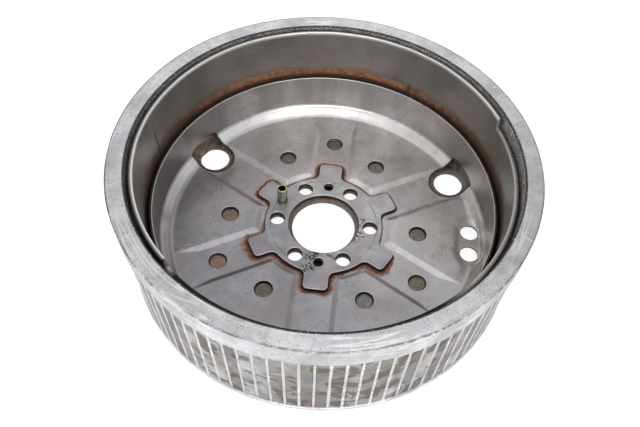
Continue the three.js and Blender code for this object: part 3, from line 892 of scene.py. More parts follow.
def web_steel():
    """Dark sheet under tan and orange rust."""
    f = Finish("web_steel")
    _, _, z = f.split()
    clouds = f.noise(24, detail=5, rough=0.65)
    f.colour = f.mix(f.range(clouds, 0.3, 0.7), (0.15, 0.135, 0.12), (0.27, 0.25, 0.23))
    grain = f.noise(0.6, detail=3, rough=0.6)
    f.coat(f.range(grain, 0.45, 0.75, 0, 0.25), (0.15, 0.14, 0.13))
    # mottled tan and orange rust round the openings and up the flange
    broken = f.times(f.minus(f.noise(6, detail=6, rough=0.68), 0.5), 9.0)
    rust = f.range(f.plus(f.field("from_cut"), broken), 7.5, 2.5)
    flange = f.range(z, 0.0090, 0.0110)
    rust = f.most(rust, f.times(flange, f.patches(7, 0.38, 0.52, detail=5, shift=0.9)))
    patches = f.patches(15, 0.56, 0.64, 0, 0.7, detail=6, rough=0.66, shift=0.9)
    rust = f.most(rust, patches)
    fine = f.patches(2.4, 0.38, 0.62, detail=6, rough=0.7, shift=0.2)
    tan = f.mix(fine, (0.085, 0.045, 0.030), (0.34, 0.19, 0.115))
    here = f.range(f.near([(-100, 66, 34)]), 0.0, 0.4, 0.35, 0.9)
    f.coat(f.times(rust, here), tan)
    # painted shade: the flange is darkened upward, where it lies in shade under the dish
    f.coat(f.range(z, 0.0095, 0.0130, 0, 0.6), (0.055, 0.046, 0.040))
    # painted shade: the web is painted near-black under the jack holes, where the deep holes lie in shade
    jack_hole_painted_shade = f.range(f.near([(*polar(CRANK_BOLT_R, a), 6.5) for a in JACK_ANGLES]), 0.02, 0.15)
    f.coat(jack_hole_painted_shade, (0.02, 0.017, 0.015))
    pits = f.patches(1.6, 0.60, 0.67, 0, 0.8, detail=3, shift=1.4)
    f.coat(pits, (0.05, 0.03, 0.02))
    # painted highlight: a light line along the top edge of the flange
    lip = f.range(z, (WEB_FLANGE_TOP - 0.9) * MM, (WEB_FLANGE_TOP - 0.3) * MM)
    f.coat(lip, (0.55, 0.52, 0.48))
    side = f.range(f.field("depth"), 0.3, 0.7)
    f.coat(f.times(side, f.range(z, 0.0115, 0.0100)), (0.075, 0.070, 0.066))
    dull = f.most(rust, pits)
    metallic = f.range(dull, 0, 1, 0.85, 0.08)
    roughness = f.plus(f.range(clouds, 0.3, 0.7, 0.36, 0.46), f.times(rust, 0.4), clamp=True)
    return f.finish(metallic, roughness, [(grain, 0.03), (f.times(rust, f.noise(0.8, detail=4)), 0.22)])


def rivet_steel(name, base, stain, amount, shift):
    """Dull rivet metal with a stain of its own over part of the head."""
    f = Finish(name)
    clouds = f.noise(4.5, detail=4, rough=0.62, shift=shift)
    f.colour = f.mix(f.range(clouds, 0.35, 0.65), tuple(c * 0.72 for c in base), base)
    patch = f.noise(6.5, detail=4, rough=0.62, shift=shift * 1.7)
    patch = f.range(patch, 0.56 - amount * 0.22, 0.66 - amount * 0.22)
    f.coat(patch, stain)
    f.blotches(1.1, 0.62, 0.68, 0.8, (0.045, 0.04, 0.035), detail=3, shift=shift * 0.6)
    scuffs = f.hairlines(4.5, 0.03, shift=shift * 2.3, distortion=0.8)
    f.coat(f.times(scuffs, 0.45), tuple(min(c * 2.2, 0.8) for c in base))
    # painted shade: a dark ring round the edge of the head, where the hole's edge throws its shadow
    rim = f.range(f.field("from_edge"), 1.3, 0.2, 0, 0.85)
    f.coat(rim, (0.035, 0.03, 0.026))
    grain = f.noise(0.5, detail=3)
    metallic = f.range(patch, 0, 1, 0.75, 0.35)
    return f.finish(metallic, f.range(clouds, 0.3, 0.7, 0.42, 0.58), [(clouds, 0.14), (grain, 0.03)])


def pin_steel():
    """Streaked grey-green steel with a yellow end."""
    f = Finish("pin_steel")
    _, _, z = f.split()
    clouds = f.noise(3, detail=4)
    lines = f.noise(1.6, detail=2, vector=f.stretched(f.place, (1, 1, 0.06)))
    side = f.mix(f.range(clouds, 0.35, 0.65), (0.20, 0.20, 0.17), (0.40, 0.40, 0.36))
    side = f.mix(f.range(lines, 0.42, 0.62, 0, 0.75), side, (0.10, 0.10, 0.085))
    rim = f.range(z, (PIN_TOP - 0.6) * MM, (PIN_TOP - 0.25) * MM)
    f.colour = f.mix(rim, side, (0.78, 0.70, 0.30))
    # painted shade: the bore is painted near-black
    f.coat(f.field("inside"), (0.012, 0.011, 0.010))
    roughness = f.range(clouds, 0.3, 0.7, 0.28, 0.42)
    return f.finish(0.9, roughness, [(lines, 0.03)])


def floor_finish():
    """A pale table that gives off light of its own, so that it stays white through the holes."""
    f = Finish("pale_floor")
    f.colour = f.mix(f.noise(400, detail=2), (0.40, 0.40, 0.40), (0.42, 0.42, 0.42))
    return f.finish(0.0, 0.75, specular=0.2, glow=0.88)


# ---- squirrel cage ----
# painted light and shade: brightness by angle, for the outer band of the end ring and for the rest of it,
# set to how the light falls round the part
BAND_PAINTED_LIGHT = [
    (0, 0.7), (205, 0.45), (218, 0.6), (232, 1.04), (246, 1.12), (258, 1.0),
    (275, 0.76), (304, 1.04), (322, 0.9), (338, 0.4),
]
RING_PAINTED_LIGHT = [
    (0, 0.86), (30, 0.97), (65, 1.2), (120, 1.18), (165, 1.06), (210, 0.93),
    (240, 0.88), (275, 1.05), (302, 1.08), (330, 0.8),
]


def end_ring(bottom, top, edge, columns, spacing, rough_inside):
    """One end ring of the cage. Its bore was left as cast, and its faces were turned."""
    profile = rounded_outline(
        [(CAGE_INNER_R, bottom), (CAGE_R, bottom), (CAGE_R, top), (CAGE_INNER_R, top)],
        [0.4, 0.5, edge, 0.7],
        spacing,
    )
    angles = np.arange(columns) * 360 / columns
    points, faces = revolved(profile, angles)
    r = radius_of(points)
    grain = wobble(points, 2.2) + 0.8 * wobble(points, 1.1, 3)
    near_bore = np.clip((CAGE_INNER_R + 1.2 - r) / 1.2, 0, 1)
    swell = near_bore * rough_inside * (0.20 * grain + 0.08 * wobble(points, 7.0, 1))
    worn = 0.05 * wobble(points, 18, 5)
    nicked = np.clip(wobble(points, 3.0, 8) - 0.38, 0, 1) * 0.6
    at_edge = np.clip((r - CAGE_R + 1.2) / 1.2, 0, 1) * np.clip((points[:, 2] - top + 1.4) / 1.4, 0, 1)
    # the casting flash left a ragged lower edge on the band
    low_edge = np.clip((bottom + 1.5 - points[:, 2]) / 1.5, 0, 1) * np.clip((r - CAGE_R + 1.0) / 1.0, 0, 1)
    ragged = np.clip(2.0 * wobble(points, 2.2, 6) + 1.0 * wobble(points, 5.5, 9), -0.9, 0.8)
    scale = (r + swell - nicked * at_edge) / r
    points[:, 0] *= scale
    points[:, 1] *= scale
    points[:, 2] += np.where(points[:, 2] > top - 0.4, worn - 0.06 - nicked * at_edge, 0)
    points[:, 2] += low_edge * rough_inside * np.maximum(ragged, -bottom)
    return points, faces


def bar(angle, bottom, top, shade):
    """One bar of the cage, with slightly uneven width and rounded outer edges."""
    half, inner = BAR_WIDTH / 2 * shade, BAR_R - 9
    section = [(inner, -1.4), (BAR_R - 0.25, -half), (BAR_R, -half + 0.22), (BAR_R, half - 0.22)]
    section += [(BAR_R - 0.25, half), (inner, 1.4)]
    levels = np.linspace(bottom, top, 34)
    points = []
    for z in levels:
        drift = 0.12 * noise.noise(Vector((angle * 0.37, z / 17, 4.0)))
        drift += 0.10 * noise.noise(Vector((angle * 0.53, z / 4, 6.0)))
        grow = 1 + 0.16 * noise.noise(Vector((angle * 0.91, z / 6, 8.0)))
        points += [(*rotated(np.array([[x, y * grow + drift]]), angle)[0], z) for x, y in section]
    n = len(section)
    faces = ring_faces(len(levels), n, closed_rows=False)
    faces += [tuple(range(n))[::-1], tuple(n * (len(levels) - 1) + k for k in range(n))]
    return np.array(points), faces


def joined(parts):
    """One list of points and faces from several."""
    points, faces, start = [], [], 0
    for p, q in parts:
        points.append(p)
        faces += [tuple(int(v) + start for v in face) for face in q]
        start += len(p)
    return np.concatenate(points), faces


def build_cage():
    """Two end rings and the bars between them, in one casting."""
    ring_bottom = HEIGHT - END_RING_HEIGHT
    parts = [
        end_ring(ring_bottom, HEIGHT, 0.45, BARS * 12, 1.1, 1.0),
        end_ring(0, REAR_RING_HEIGHT, 0.5, BARS * 5, 1.6, 0.4),
    ]
    for k in range(BARS):
        shade = 1 + 0.12 * noise.noise(Vector((k * 1.7, 2.0, 0.5)))
        parts.append(bar(360 * k / BARS, REAR_RING_HEIGHT - 1, ring_bottom + 1, shade))
    points, faces = joined(parts)
    r = radius_of(points)
    z = points[:, 2]
    upper = z > ring_bottom - 0.6
    on_band = upper & (r > CAGE_R - 0.6)
    angle = np.degrees(np.arctan2(points[:, 1], points[:, 0])) % 360
    # painted light and shade by angle, for the band and for the rest of the end ring
    band = np.interp(angle, *zip(*BAND_PAINTED_LIGHT), period=360)
    ring = np.interp(angle, *zip(*RING_PAINTED_LIGHT), period=360)
    fields = {
        "shade": np.where(on_band, band, np.where(upper, ring, 1.0)),
        "bore": np.clip((CAGE_INNER_R + 0.9 - r) / 0.4, 0, 1) * (z < HEIGHT - 0.35),
        # lip marks where the painted black line of shade runs along the inner edge
        "lip": np.clip(1.8 - np.hypot(r - CAGE_INNER_R - 0.1, z - HEIGHT + 0.1) / 0.62, 0, 1),
        "edge": np.clip(1.25 - np.hypot(r - CAGE_R, z - HEIGHT) / 1.1, 0, 1),
    }
    metal = cast_aluminium()
    return piece("squirrel_cage", points, faces, metal, ["rotor_cage"], fields=fields)


# ---- lamination stack ----
def build_laminations():
    """Thin slotted sheets between the end rings, each a hair proud or shy of its neighbours."""
    pitch, groove = 0.7, 0.07
    outer, slot = BAR_R - 0.18, BAR_R - 9.6
    inner = SLEEVE_OUTER_R + 0.3
    half = math.degrees((BAR_WIDTH / 2 + 0.12) / outer)
    deep = math.degrees(1.6 / slot)
    outline = []
    for k in range(BARS):
        a = 360 * k / BARS
        outline += [(outer, a - half), (slot, a - deep), (slot, a + deep), (outer, a + half)]
    radius = np.array([r for r, _ in outline])
    angle = np.radians([a for _, a in outline])
    at_face = radius > outer - 1
    sheets = int((STACK_TOP - STACK_BOTTOM) / pitch)
    step = (STACK_TOP - STACK_BOTTOM) / sheets
    rng = np.random.default_rng(7)
    rows = []
    for k in range(sheets):
        proud = rng.uniform(-0.04, 0.04)
        for share, dip in ((0.0, groove), (0.22, 0.0), (0.78, 0.0)):
            rows.append((STACK_BOTTOM + (k + share) * step, proud * (dip == 0) - dip))
    rows.append((STACK_TOP, -groove))
    points = []
    for z, shift in rows:
        r = radius + at_face * shift
        points.append(np.column_stack([r * np.cos(angle), r * np.sin(angle), np.full(len(r), z)]))
    n = len(outline)
    faces = ring_faces(len(rows), n, closed_rows=False)
    # the bore closes the stack: one wall and a flat face at each end
    for z in (STACK_BOTTOM, STACK_TOP):
        points.append(np.column_stack([inner * np.cos(angle), inner * np.sin(angle), np.full(n, z)]))
    low, high = len(rows) * n, (len(rows) + 1) * n
    last = (len(rows) - 1) * n
    for j in range(n):
        k = (j + 1) % n
        faces.append((low + k, low + j, high + j, high + k))
        faces.append((low + j, low + k, k, j))
        faces.append((last + j, last + k, high + k, high + j))
    points = np.concatenate(points)
    metal = lamination_steel()
    return piece("laminations", points, faces, metal, ["lamination_stack"], 50)


# ---- drum sleeve ----
def build_sleeve():
    """A rolled steel tube. More than half of its rim stands higher, and a seam runs down its wall."""
    step_a, step_b = SLEEVE_STEP_ANGLE, SLEEVE_STEP_END
    fine = np.array([-1.2, -0.8, -0.5, -0.3, -0.1, 0.1, 0.3, 0.5, 0.8, 1.2])
    extra = [step_a + fine, step_b + fine, SEAM_ANGLE + fine * 0.35]
    angles = np.concatenate([np.arange(0, 360, 1.0), *extra])
    angles = np.unique(np.round(angles % 360, 3))
    corner_share = 0.6
    rise = np.clip((angles - step_a) / corner_share + 0.5, 0, 1)
    fall = np.clip((step_b - angles) / corner_share + 0.5, 0, 1)
    high = ease(rise * fall)
    rim = SLEEVE_TOP_LOW + (SLEEVE_TOP_HIGH - SLEEVE_TOP_LOW) * high
    uneven = [noise.noise(Vector((math.cos(a) * 9, math.sin(a) * 9, 1))) for a in np.radians(angles)]
    rim = rim + 0.18 * np.array(uneven) - 0.2
    edge = 0.5
    inner, outer = SLEEVE_INNER_R, SLEEVE_OUTER_R
    rows = [(inner, None, t) for t in np.linspace(0, 1, 40)]
    turns = np.radians([15, 35, 60, 90])
    rows += [(inner + edge * (1 - math.cos(t)), edge * math.sin(t), 1) for t in turns]
    rows += [(outer - edge * (1 - math.sin(t)), edge * math.cos(t), 1) for t in np.radians([0, 30, 60, 90])]
    rows += [(outer, None, t) for t in np.linspace(1, 0, 12)[1:]]
    t = np.radians(angles)
    seam = np.exp(-(((angles - SEAM_ANGLE) / 0.12) ** 2))
    points = []
    for r, lift, share in rows:
        z = SLEEVE_BOTTOM + (rim - edge - SLEEVE_BOTTOM) * share if lift is None else rim - edge + lift
        reach = r + (0.22 * seam if r == inner else 0)
        points.append(np.column_stack([reach * np.cos(t), reach * np.sin(t), z]))
    points = np.concatenate(points)
    faces = ring_faces(len(rows), len(angles))
    from_back = np.arctan2(points[:, 1], points[:, 0]) - math.radians(98)
    rusty = np.clip(0.5 + 0.9 * (np.cos(from_back) - 0.62), 0, 1)
    top = np.tile(rim, len(rows))
    on_rim = np.clip((points[:, 2] - top + 0.9) / 0.4, 0, 1)
    r = radius_of(points)
    outer_half = np.clip((r - inner - 1.4) / 0.5, 0, 1)
    angle = np.degrees(np.arctan2(points[:, 1], points[:, 0]))
    # painted highlight and shade on the rim: its inner half is painted bright and its outer half black, both
    # weaker on the low side, and the rim is painted black along the front
    front = np.clip((angle + 131) / 3, 0, 1) * np.clip((-40 - angle) / 12, 0, 1)
    dull = np.where((angle > step_a) | (angle < step_b - 360), 1.0, 0.40)
    rim_painted_highlight = on_rim * (1 - outer_half) * dull * (1 - front)
    rim_painted_shade = on_rim * np.maximum(0.9 * outer_half * dull, front)
    fields = {"rusty": rusty, "rim": rim_painted_highlight, "rim_painted_shade": rim_painted_shade}
    return piece("sleeve", points, faces, sleeve_steel(), ["drum_sleeve"], fields=fields)


# ---- hub plate ----
def hub_outline():
    """Six rounded lugs on a disc, anticlockwise."""
    fillet_y = LUG_HALF_WIDTH + LUG_FILLET
    fillet_x = math.sqrt((HUB_R + LUG_FILLET) ** 2 - fillet_y**2)
    meet = math.degrees(math.atan2(fillet_y, fillet_x))
    tip = LUG_TIP_R - LUG_CORNER
    side = LUG_HALF_WIDTH - LUG_CORNER
    lug = np.concatenate([
        arc((fillet_x, -fillet_y), LUG_FILLET, 180 - meet, 90, 8),
        arc((tip, -side), LUG_CORNER, -90, 0, 7),
        arc((tip, side), LUG_CORNER, 0, 90, 7),
        arc((fillet_x, fillet_y), LUG_FILLET, 270, 180 + meet, 8),
        arc((0, 0), HUB_R, meet, 60 - meet, 8)[1:-1],
    ])
    return resampled(np.concatenate([rotated(lug, a) for a in CHANNEL_ANGLES]), 1.4)


def bolt_holes(steps=40, jacks=True):
    """The crank bolt and dowel holes and, if asked, the jacking holes, as clockwise loops."""
    holes = [circle(CRANK_HOLE_R, polar(CRANK_BOLT_R, a), steps, True) for a in CRANK_ANGLES]
    if jacks:
        holes += [circle(JACK_HOLE_R, polar(CRANK_BOLT_R, a), steps, True) for a in JACK_ANGLES]
    return holes + [circle(PIN_R + 0.15, polar(PIN_CENTRE_R, PIN_ANGLE), steps, True)]


def cut_distance(plan, loops, reach=12):
    """Distance to the nearest of the loops, in millimetres, no more than reach."""
    best = np.full(len(plan), float(reach))
    for loop in loops:
        best = np.minimum(best, distance_to(plan, loop))
    return best


def build_hub():
    """A thick plate with six lugs, a scribed groove, bolt holes and two threaded holes."""
    rim = hub_outline()
    holes = [circle(HUB_BORE_R, steps=140, clockwise=True), *bolt_holes()]
    rings = [circle(SCRIBED_R + d, steps=260) for d in (-0.55, -0.28, 0.0, 0.28, 0.55)]
    hexes = seeds_on_hexes(LUG_TIP_R, 1.7)
    off_ring = np.abs(radius_of(hexes) - SCRIBED_R) > 1.2
    seeds = np.concatenate([hexes[off_ring], *rings])

    def place(plan):
        r = radius_of(plan)
        groove = 0.12 * np.exp(-(((r - SCRIBED_R) / 0.22) ** 2))
        flat = 0.04 * waves_over(plan, 14, 3)
        top = np.column_stack([plan, HUB_TOP - 0.03 - groove + flat])
        return top, np.tile([0.0, 0.0, 1.0], (len(plan), 1))

    thickness = HUB_TOP - HUB_BOTTOM
    points, faces, plan, depth = sheet_mesh(
        rim, holes, seeds, place, thickness, lip=0.6, clearance=0.55, wall_rows=14
    )
    for angle in JACK_ANGLES:
        cut_thread(points, depth, polar(CRANK_BOLT_R, angle))
    fields = {
        "from_cut": cut_distance(plan, [rim, *holes]),
        "depth": depth,
        "rusty": rust_share(plan),
        "reach": radius_of(plan),
    }
    return piece("hub_flange", points, faces, hub_steel(), ["hub_plate"], fields=fields)


def cut_thread(points, depth, centre, pitch=1.0, height=0.36):
    """Turns the wall of a small hole into a screw thread."""
    off = points[:, :2] - centre
    r = radius_of(off)
    turn = np.arctan2(off[:, 1], off[:, 0]) / TAU
    wave = height * (0.5 + 0.5 * np.sin(TAU * (depth / pitch + turn)))
    on_wall = (r < JACK_HOLE_R + 0.1) & (depth > 0.5)
    points[:, :2] -= off / np.maximum(r, 1e-6)[:, None] * np.where(on_wall, wave, 0)[:, None]


# where water stood against the hub plate: direction and spread in degrees, and how far the rust went
RUST_POOLS = (
    (208, 17, 6.4), (233, 16, 3.6), (258, 11, 3.4), (282, 13, 3.6), (321, 13, 4.6),
    (150, 20, 2.6), (100, 16, 2.6), (78, 10, 2.0), (60, 14, 1.2),
)


def rust_reach(plan):
    """How far the rust spreads from the hub plate in each direction, in millimetres."""
    angle = np.degrees(np.arctan2(plan[:, 1], plan[:, 0]))
    reach = np.full(len(plan), 0.8)
    for middle, spread, amount in RUST_POOLS:
        off = (angle - middle + 180) % 360 - 180
        reach = np.maximum(reach, 0.8 + amount * np.exp(-((off / spread) ** 2)))
    return reach


def hub_shadow_reach(plan):
    """The dark band of dirt and painted shadow along the back edges of the hub plate reaches further out
    than along the front ones.
    """
    angle = np.arctan2(plan[:, 1], plan[:, 0])
    return np.where(np.sin(angle) > 0, 1.7, 0.7) * np.clip(np.abs(np.sin(angle)) * 1.6, 0, 1)


def rust_share(plan):
    """How rusty the surface is in each direction, from 0 to 1."""
    return np.clip(rust_reach(plan) / 5, 0.2, 1)


# ---- front dish ----
def channel_depth(plan):
    """How far the pressed star lies below the pads, in millimetres."""
    wall = CHANNEL_DEPTH / CHANNEL_WALL_WIDTH
    r = radius_of(plan)
    ramp = CHANNEL_DEPTH * (1 - smooth_clamp((r - RAMP_START_R) / (RAMP_END_R - RAMP_START_R), 1, 0.015))
    depth = np.zeros(len(plan))
    for angle in CHANNEL_ANGLES:
        u, v = rotated(plan, -angle).T
        into = (CHANNEL_HALF_FLOOR + CHANNEL_WALL_WIDTH - np.abs(v)) * wall
        one = smooth_clamp(into, np.maximum(ramp, 0.02), 0.09)
        depth = np.maximum(depth, np.where(u > 0, one, 0))
    centre = smooth_clamp((CENTRE_FLOOR_R + CHANNEL_WALL_WIDTH - r) * wall, CHANNEL_DEPTH, 0.09)
    return np.maximum(depth, centre)


def pair_dip(plan):
    """A shallow flat pressed round the pair of holes."""
    x, y = plan.T
    middle = PAIR_R * math.sin(math.radians(sum(PAIR_ANGLES) / 2))
    centre_x, half_across, half_along = 129.5, 15.5, 34
    across = np.clip((half_across - np.abs(x - centre_x)) / 5, 0, 1)
    along = np.clip((half_along - np.abs(y - middle)) / 18, 0, 1)
    return ease(across) * ease(along)


def build_dish():
    """A pressed cup: a floor with channels, a slope cut by three notches, and a wall."""
    inner_wall = DISH_OUTER_R - SHEET
    base, rim_s, s_at = meridian(
        [(0.0, PAD_FLOOR), (SLOPE_FOOT_R, PAD_FLOOR), (inner_wall, SLOPE_TOP), (inner_wall, DISH_TOP)],
        [3.5, 1.3],
    )
    crease_s = s_at(SLOPE_TOP - 0.5)

    def place(plan):
        depth = channel_depth(plan) + 1.1 * pair_dip(plan)
        depth += 0.32 * np.exp(-(((radius_of(plan) - crease_s + 1.0) / 0.32) ** 2))
        waves = 0.10 * waves_over(plan, 26, 0.5)
        on_floor = np.clip((SLOPE_FOOT_R + 4 - radius_of(plan)) / 8, 0, 1)
        return base(plan, depth + waves * (0.4 + 0.6 * on_floor))

    # the notches run from the floor up the slope and into the wall, with a rounded top
    top_s = s_at(NOTCH_TOP)
    half = NOTCH_HALF_WIDTH
    notch = np.concatenate([
        arc((NOTCH_CENTRE_R, 0), half, 270, 90, 30),
        [(s, half) for s in np.linspace(NOTCH_CENTRE_R, top_s - NOTCH_ARCH, 10)[1:]],
        np.column_stack([
            top_s - NOTCH_ARCH + NOTCH_ARCH * np.sin(np.linspace(0, math.pi, 22)),
            half * np.cos(np.linspace(0, math.pi, 22)),
        ]),
        [(s, -half) for s in np.linspace(top_s - NOTCH_ARCH, NOTCH_CENTRE_R, 10)[1:-1]],
    ])
    # in the plan the wall is unrolled, so a width on it subtends the angle that it has on the real wall
    notch = resampled(notch, 1.3)
    reach = np.maximum(notch[:, 0], NOTCH_CENTRE_R)
    real = np.interp(reach, [NOTCH_CENTRE_R, inner_wall, rim_s], [NOTCH_CENTRE_R, inner_wall, inner_wall])
    notch[:, 1] *= reach / real
    holes = [circle(DISH_BORE_R, steps=120, clockwise=True), *bolt_holes(32)]
    discs = [circle(RIVET_HOLE_R, polar(r, a), 44, True) for r, a, _ in RIVETS]
    pair = [circle(PAIR_HOLE_R, polar(PAIR_R, a), 44, True) for a in PAIR_ANGLES]
    notches = [rotated(notch, a) for a in CONVERTER_ANGLES]
    holes += discs + pair + notches
    rim = circle(rim_s, steps=300)

    seeds = dish_seeds(rim_s, crease_s)
    points, faces, plan, depth = sheet_mesh(rim, holes, seeds, place, SHEET, lip=0.3, clearance=0.55)
    near_rim = np.clip((radius_of(plan) - rim_s + 3) / 3, 0, 1)
    reach = radius_of(points)
    # the pressing is flat round the pair of holes, so the slope starts further out there
    flat = smooth_clamp((12.6 - from_pair(plan)) / 3.4, 1, 0.12)[:, None]
    level = np.column_stack([plan, PAD_FLOOR - 1.1 - depth])
    beside = radius_of(plan)[:, None] < 140
    points = np.where(beside, points * (1 - flat) + level * flat, points)
    uneven = 1 + near_rim * 0.10 * wobble(points, 22, 2) / reach
    points[:, :2] *= uneven[:, None]
    from_hub = signed_from_hub(plan)
    fields = {
        "halo": np.maximum(from_hub - hub_shadow_reach(plan), 0) / rust_reach(plan),
        "joint_and_shade": from_hub - hub_shadow_reach(plan),
        "from_cut": cut_distance(plan, notches),
        "depth": depth,
    }
    return piece("dish", points, faces, dish_steel(), ["front_dish"], fields=fields)


def from_pair(plan):
    """Distance from the line that joins the pair of holes."""
    a, b = (polar(PAIR_R, angle) for angle in PAIR_ANGLES)
    along = np.clip((plan - a) @ (b - a) / ((b - a) @ (b - a)), 0, 1)
    return np.linalg.norm(plan - (a + along[:, None] * (b - a)), axis=1)


def signed_from_hub(plan):
    """Distance outside the hub plate's outline, negative inside it."""
    rim = hub_outline()[::2]
    near = radius_of(plan) < LUG_TIP_R + 22
    out = np.full(len(plan), 30.0)
    distance = distance_to(plan[near], rim)
    out[near] = np.where(inside(plan[near], rim), -distance, distance)
    return out


def dish_seeds(rim_s, crease_s):
    """Points for the dish: rows along the channel walls, rings up the slope, and hexes between."""
    hexes = seeds_on_hexes(SLOPE_FOOT_R, 2.4)
    r = radius_of(hexes)
    keep = (r > DISH_BORE_R) & (r < SLOPE_FOOT_R - 7)
    half_wall = CHANNEL_WALL_WIDTH / 2
    across = CHANNEL_HALF_FLOOR + half_wall + np.linspace(-1, 1, 12) * (half_wall + 1.4)
    rows = []
    for angle in CHANNEL_ANGLES:
        v = rotated(hexes, -angle)
        on_wall = (v[:, 0] > 40) & (np.abs(np.abs(v[:, 1]) - across.mean()) < half_wall + 2.2)
        keep &= ~on_wall
        along = np.arange(50, SLOPE_FOOT_R - 7, 1.8)
        for side in (-1, 1):
            grid = np.array([(u, side * w) for w in across for u in along])
            grid = grid[radius_of(grid) < SLOPE_FOOT_R - 7.5]
            rows.append(rotated(grid, angle))
    rings = []
    s = SLOPE_FOOT_R - 7
    while s < rim_s - 1:
        steps = 360
        rings.append(rotated(circle(s, steps=steps), (len(rings) % 2) * 180 / steps))
        if crease_s - 2.2 < s < crease_s + 1.6:
            s += 0.28
        elif s < crease_s + 8:
            s += 1.0
        else:
            s += 2.8
    middle = [rotated(circle(CENTRE_FLOOR_R + d, steps=220), d * 7) for d in np.linspace(-1.2, 5.6, 9)]
    centre_ring = np.concatenate(middle)
    ring_r = radius_of(hexes)
    keep &= (ring_r < CENTRE_FLOOR_R - 2) | (ring_r > CENTRE_FLOOR_R + 6.6)
    for angle in CHANNEL_ANGLES:
        v = rotated(centre_ring, -angle)
        centre_ring = centre_ring[(v[:, 0] < 0) | (np.abs(v[:, 1]) > across.max() + 0.4)]
    rows = np.concatenate(rows)
    for angle in CRANK_ANGLES:
        v = rotated(rows, -angle)
        rows = rows[(v[:, 0] < 0) | (radius_of(v) > CENTRE_FLOOR_R + 6.2) | (np.abs(v[:, 1]) > 10)]
    return np.concatenate([hexes[keep], rows, centre_ring, *rings])


# ---- rear web ----
def build_web():
    """The drum's floor plate, pressed up under the pad rivets and turned up at its edge."""
    inner_wall = WEB_OUTER_R - WEB_FLANGE_THICKNESS
    floor = WEB_BOTTOM + WEB_THICKNESS
    base, rim_s, _ = meridian(
        [(0.0, floor), (inner_wall, floor), (inner_wall, WEB_FLANGE_TOP)],
        [1.4],
    )
    bosses = [polar(r, a) for r, a, level in RIVETS if level == PAD_FLOOR]
    seats = [polar(r, a) for r, a, level in RIVETS if level < PAD_FLOOR]

    def place(plan):
        lift = np.zeros(len(plan))
        for boss in bosses:
            d = np.linalg.norm(plan - boss, axis=1)
            lift = np.maximum(lift, smooth_clamp((WEB_BOSS_R + 1.4 - d) * 0.9, WEB_BOSS_HEIGHT, 0.15))
        for seat in seats:
            d = np.linalg.norm(plan - seat, axis=1)
            lift -= smooth_clamp((RIVET_HOLE_R + 0.9 - d) * 2, WEB_SEAT_DEPTH, 0.05)
        return base(plan, -lift)

    holes = [circle(WEB_BORE_R, steps=120, clockwise=True), *bolt_holes(32, jacks=False)]
    middles = [polar(CONVERTER_R - 1, a) + (0, 0.9) for a in CONVERTER_ANGLES]
    large = [circle(CONVERTER_HOLE_R - 0.5, middle, 56, True) for middle in middles]
    large += [pair_slot()]
    rivet_holes = [circle(RIVET_SHANK_R + 0.2, polar(r, a), 24, True) for r, a, _ in RIVETS]
    hexes = seeds_on_hexes(inner_wall, 2.6)
    r = radius_of(hexes)
    keep = (r > WEB_BORE_R) & (r < inner_wall - 5)
    rings = []
    for boss in bosses:
        d = np.linalg.norm(hexes - boss, axis=1)
        keep &= (d < WEB_BOSS_R - 2) | (d > WEB_BOSS_R + 4)
        rings += [circle(WEB_BOSS_R + e, boss, 64) for e in np.linspace(-1.4, 3.2, 7)]
    for seat in seats:
        d = np.linalg.norm(hexes - seat, axis=1)
        keep &= (d < RIVET_HOLE_R - 0.6) | (d > RIVET_HOLE_R + 1.8)
        rings += [circle(RIVET_HOLE_R + e, seat, 64) for e in np.linspace(-0.1, 1.3, 5)]
    rings += [circle(s, steps=260) for s in np.arange(inner_wall - 4, rim_s - 1, 1.4)]
    seeds = np.concatenate([hexes[keep], *rings])
    rim = circle(rim_s, steps=260)
    cuts = holes + large + rivet_holes
    points, faces, plan, depth = sheet_mesh(rim, cuts, seeds, place, WEB_SHEET, lip=0.35, clearance=0.5)
    fields = {"from_cut": cut_distance(plan, holes + large), "depth": depth}
    return piece("web", points, faces, web_steel(), ["rear_web"], fields=fields)


def pair_slot():
    """One clearance slot round the pair of holes, clockwise."""
    a, b = PAIR_ANGLES[0] + 1.2, PAIR_ANGLES[1]
    r = PAIR_WEB_HOLE_R + 0.4
    ends = [
        arc(polar(PAIR_R, a), r, a + 180, a, 14),
        arc(polar(PAIR_R, b), r, b, b - 180, 14),
    ]
    return np.concatenate(ends)


# ---- rivets and pin ----
RIVET_STAINS = {
    "rivet_1": ((0.24, 0.215, 0.20), (0.20, 0.15, 0.10), 0.5),
    "rivet_2": ((0.23, 0.225, 0.22), (0.17, 0.165, 0.16), 0.3),
    "rivet_3": ((0.20, 0.185, 0.165), (0.14, 0.12, 0.09), 0.5),
    "rivet_4": ((0.24, 0.24, 0.215), (0.26, 0.15, 0.105), 0.75),
    "rivet_5": ((0.185, 0.17, 0.155), (0.15, 0.145, 0.115), 0.6),
    "rivet_6": ((0.25, 0.25, 0.235), (0.20, 0.205, 0.18), 0.5),
    "rivet_7": ((0.16, 0.155, 0.145), (0.12, 0.11, 0.10), 0.4),
    "rivet_8": ((0.25, 0.195, 0.175), (0.32, 0.19, 0.13), 0.85),
    "rivet_9": ((0.23, 0.20, 0.175), (0.24, 0.19, 0.13), 0.6),
}


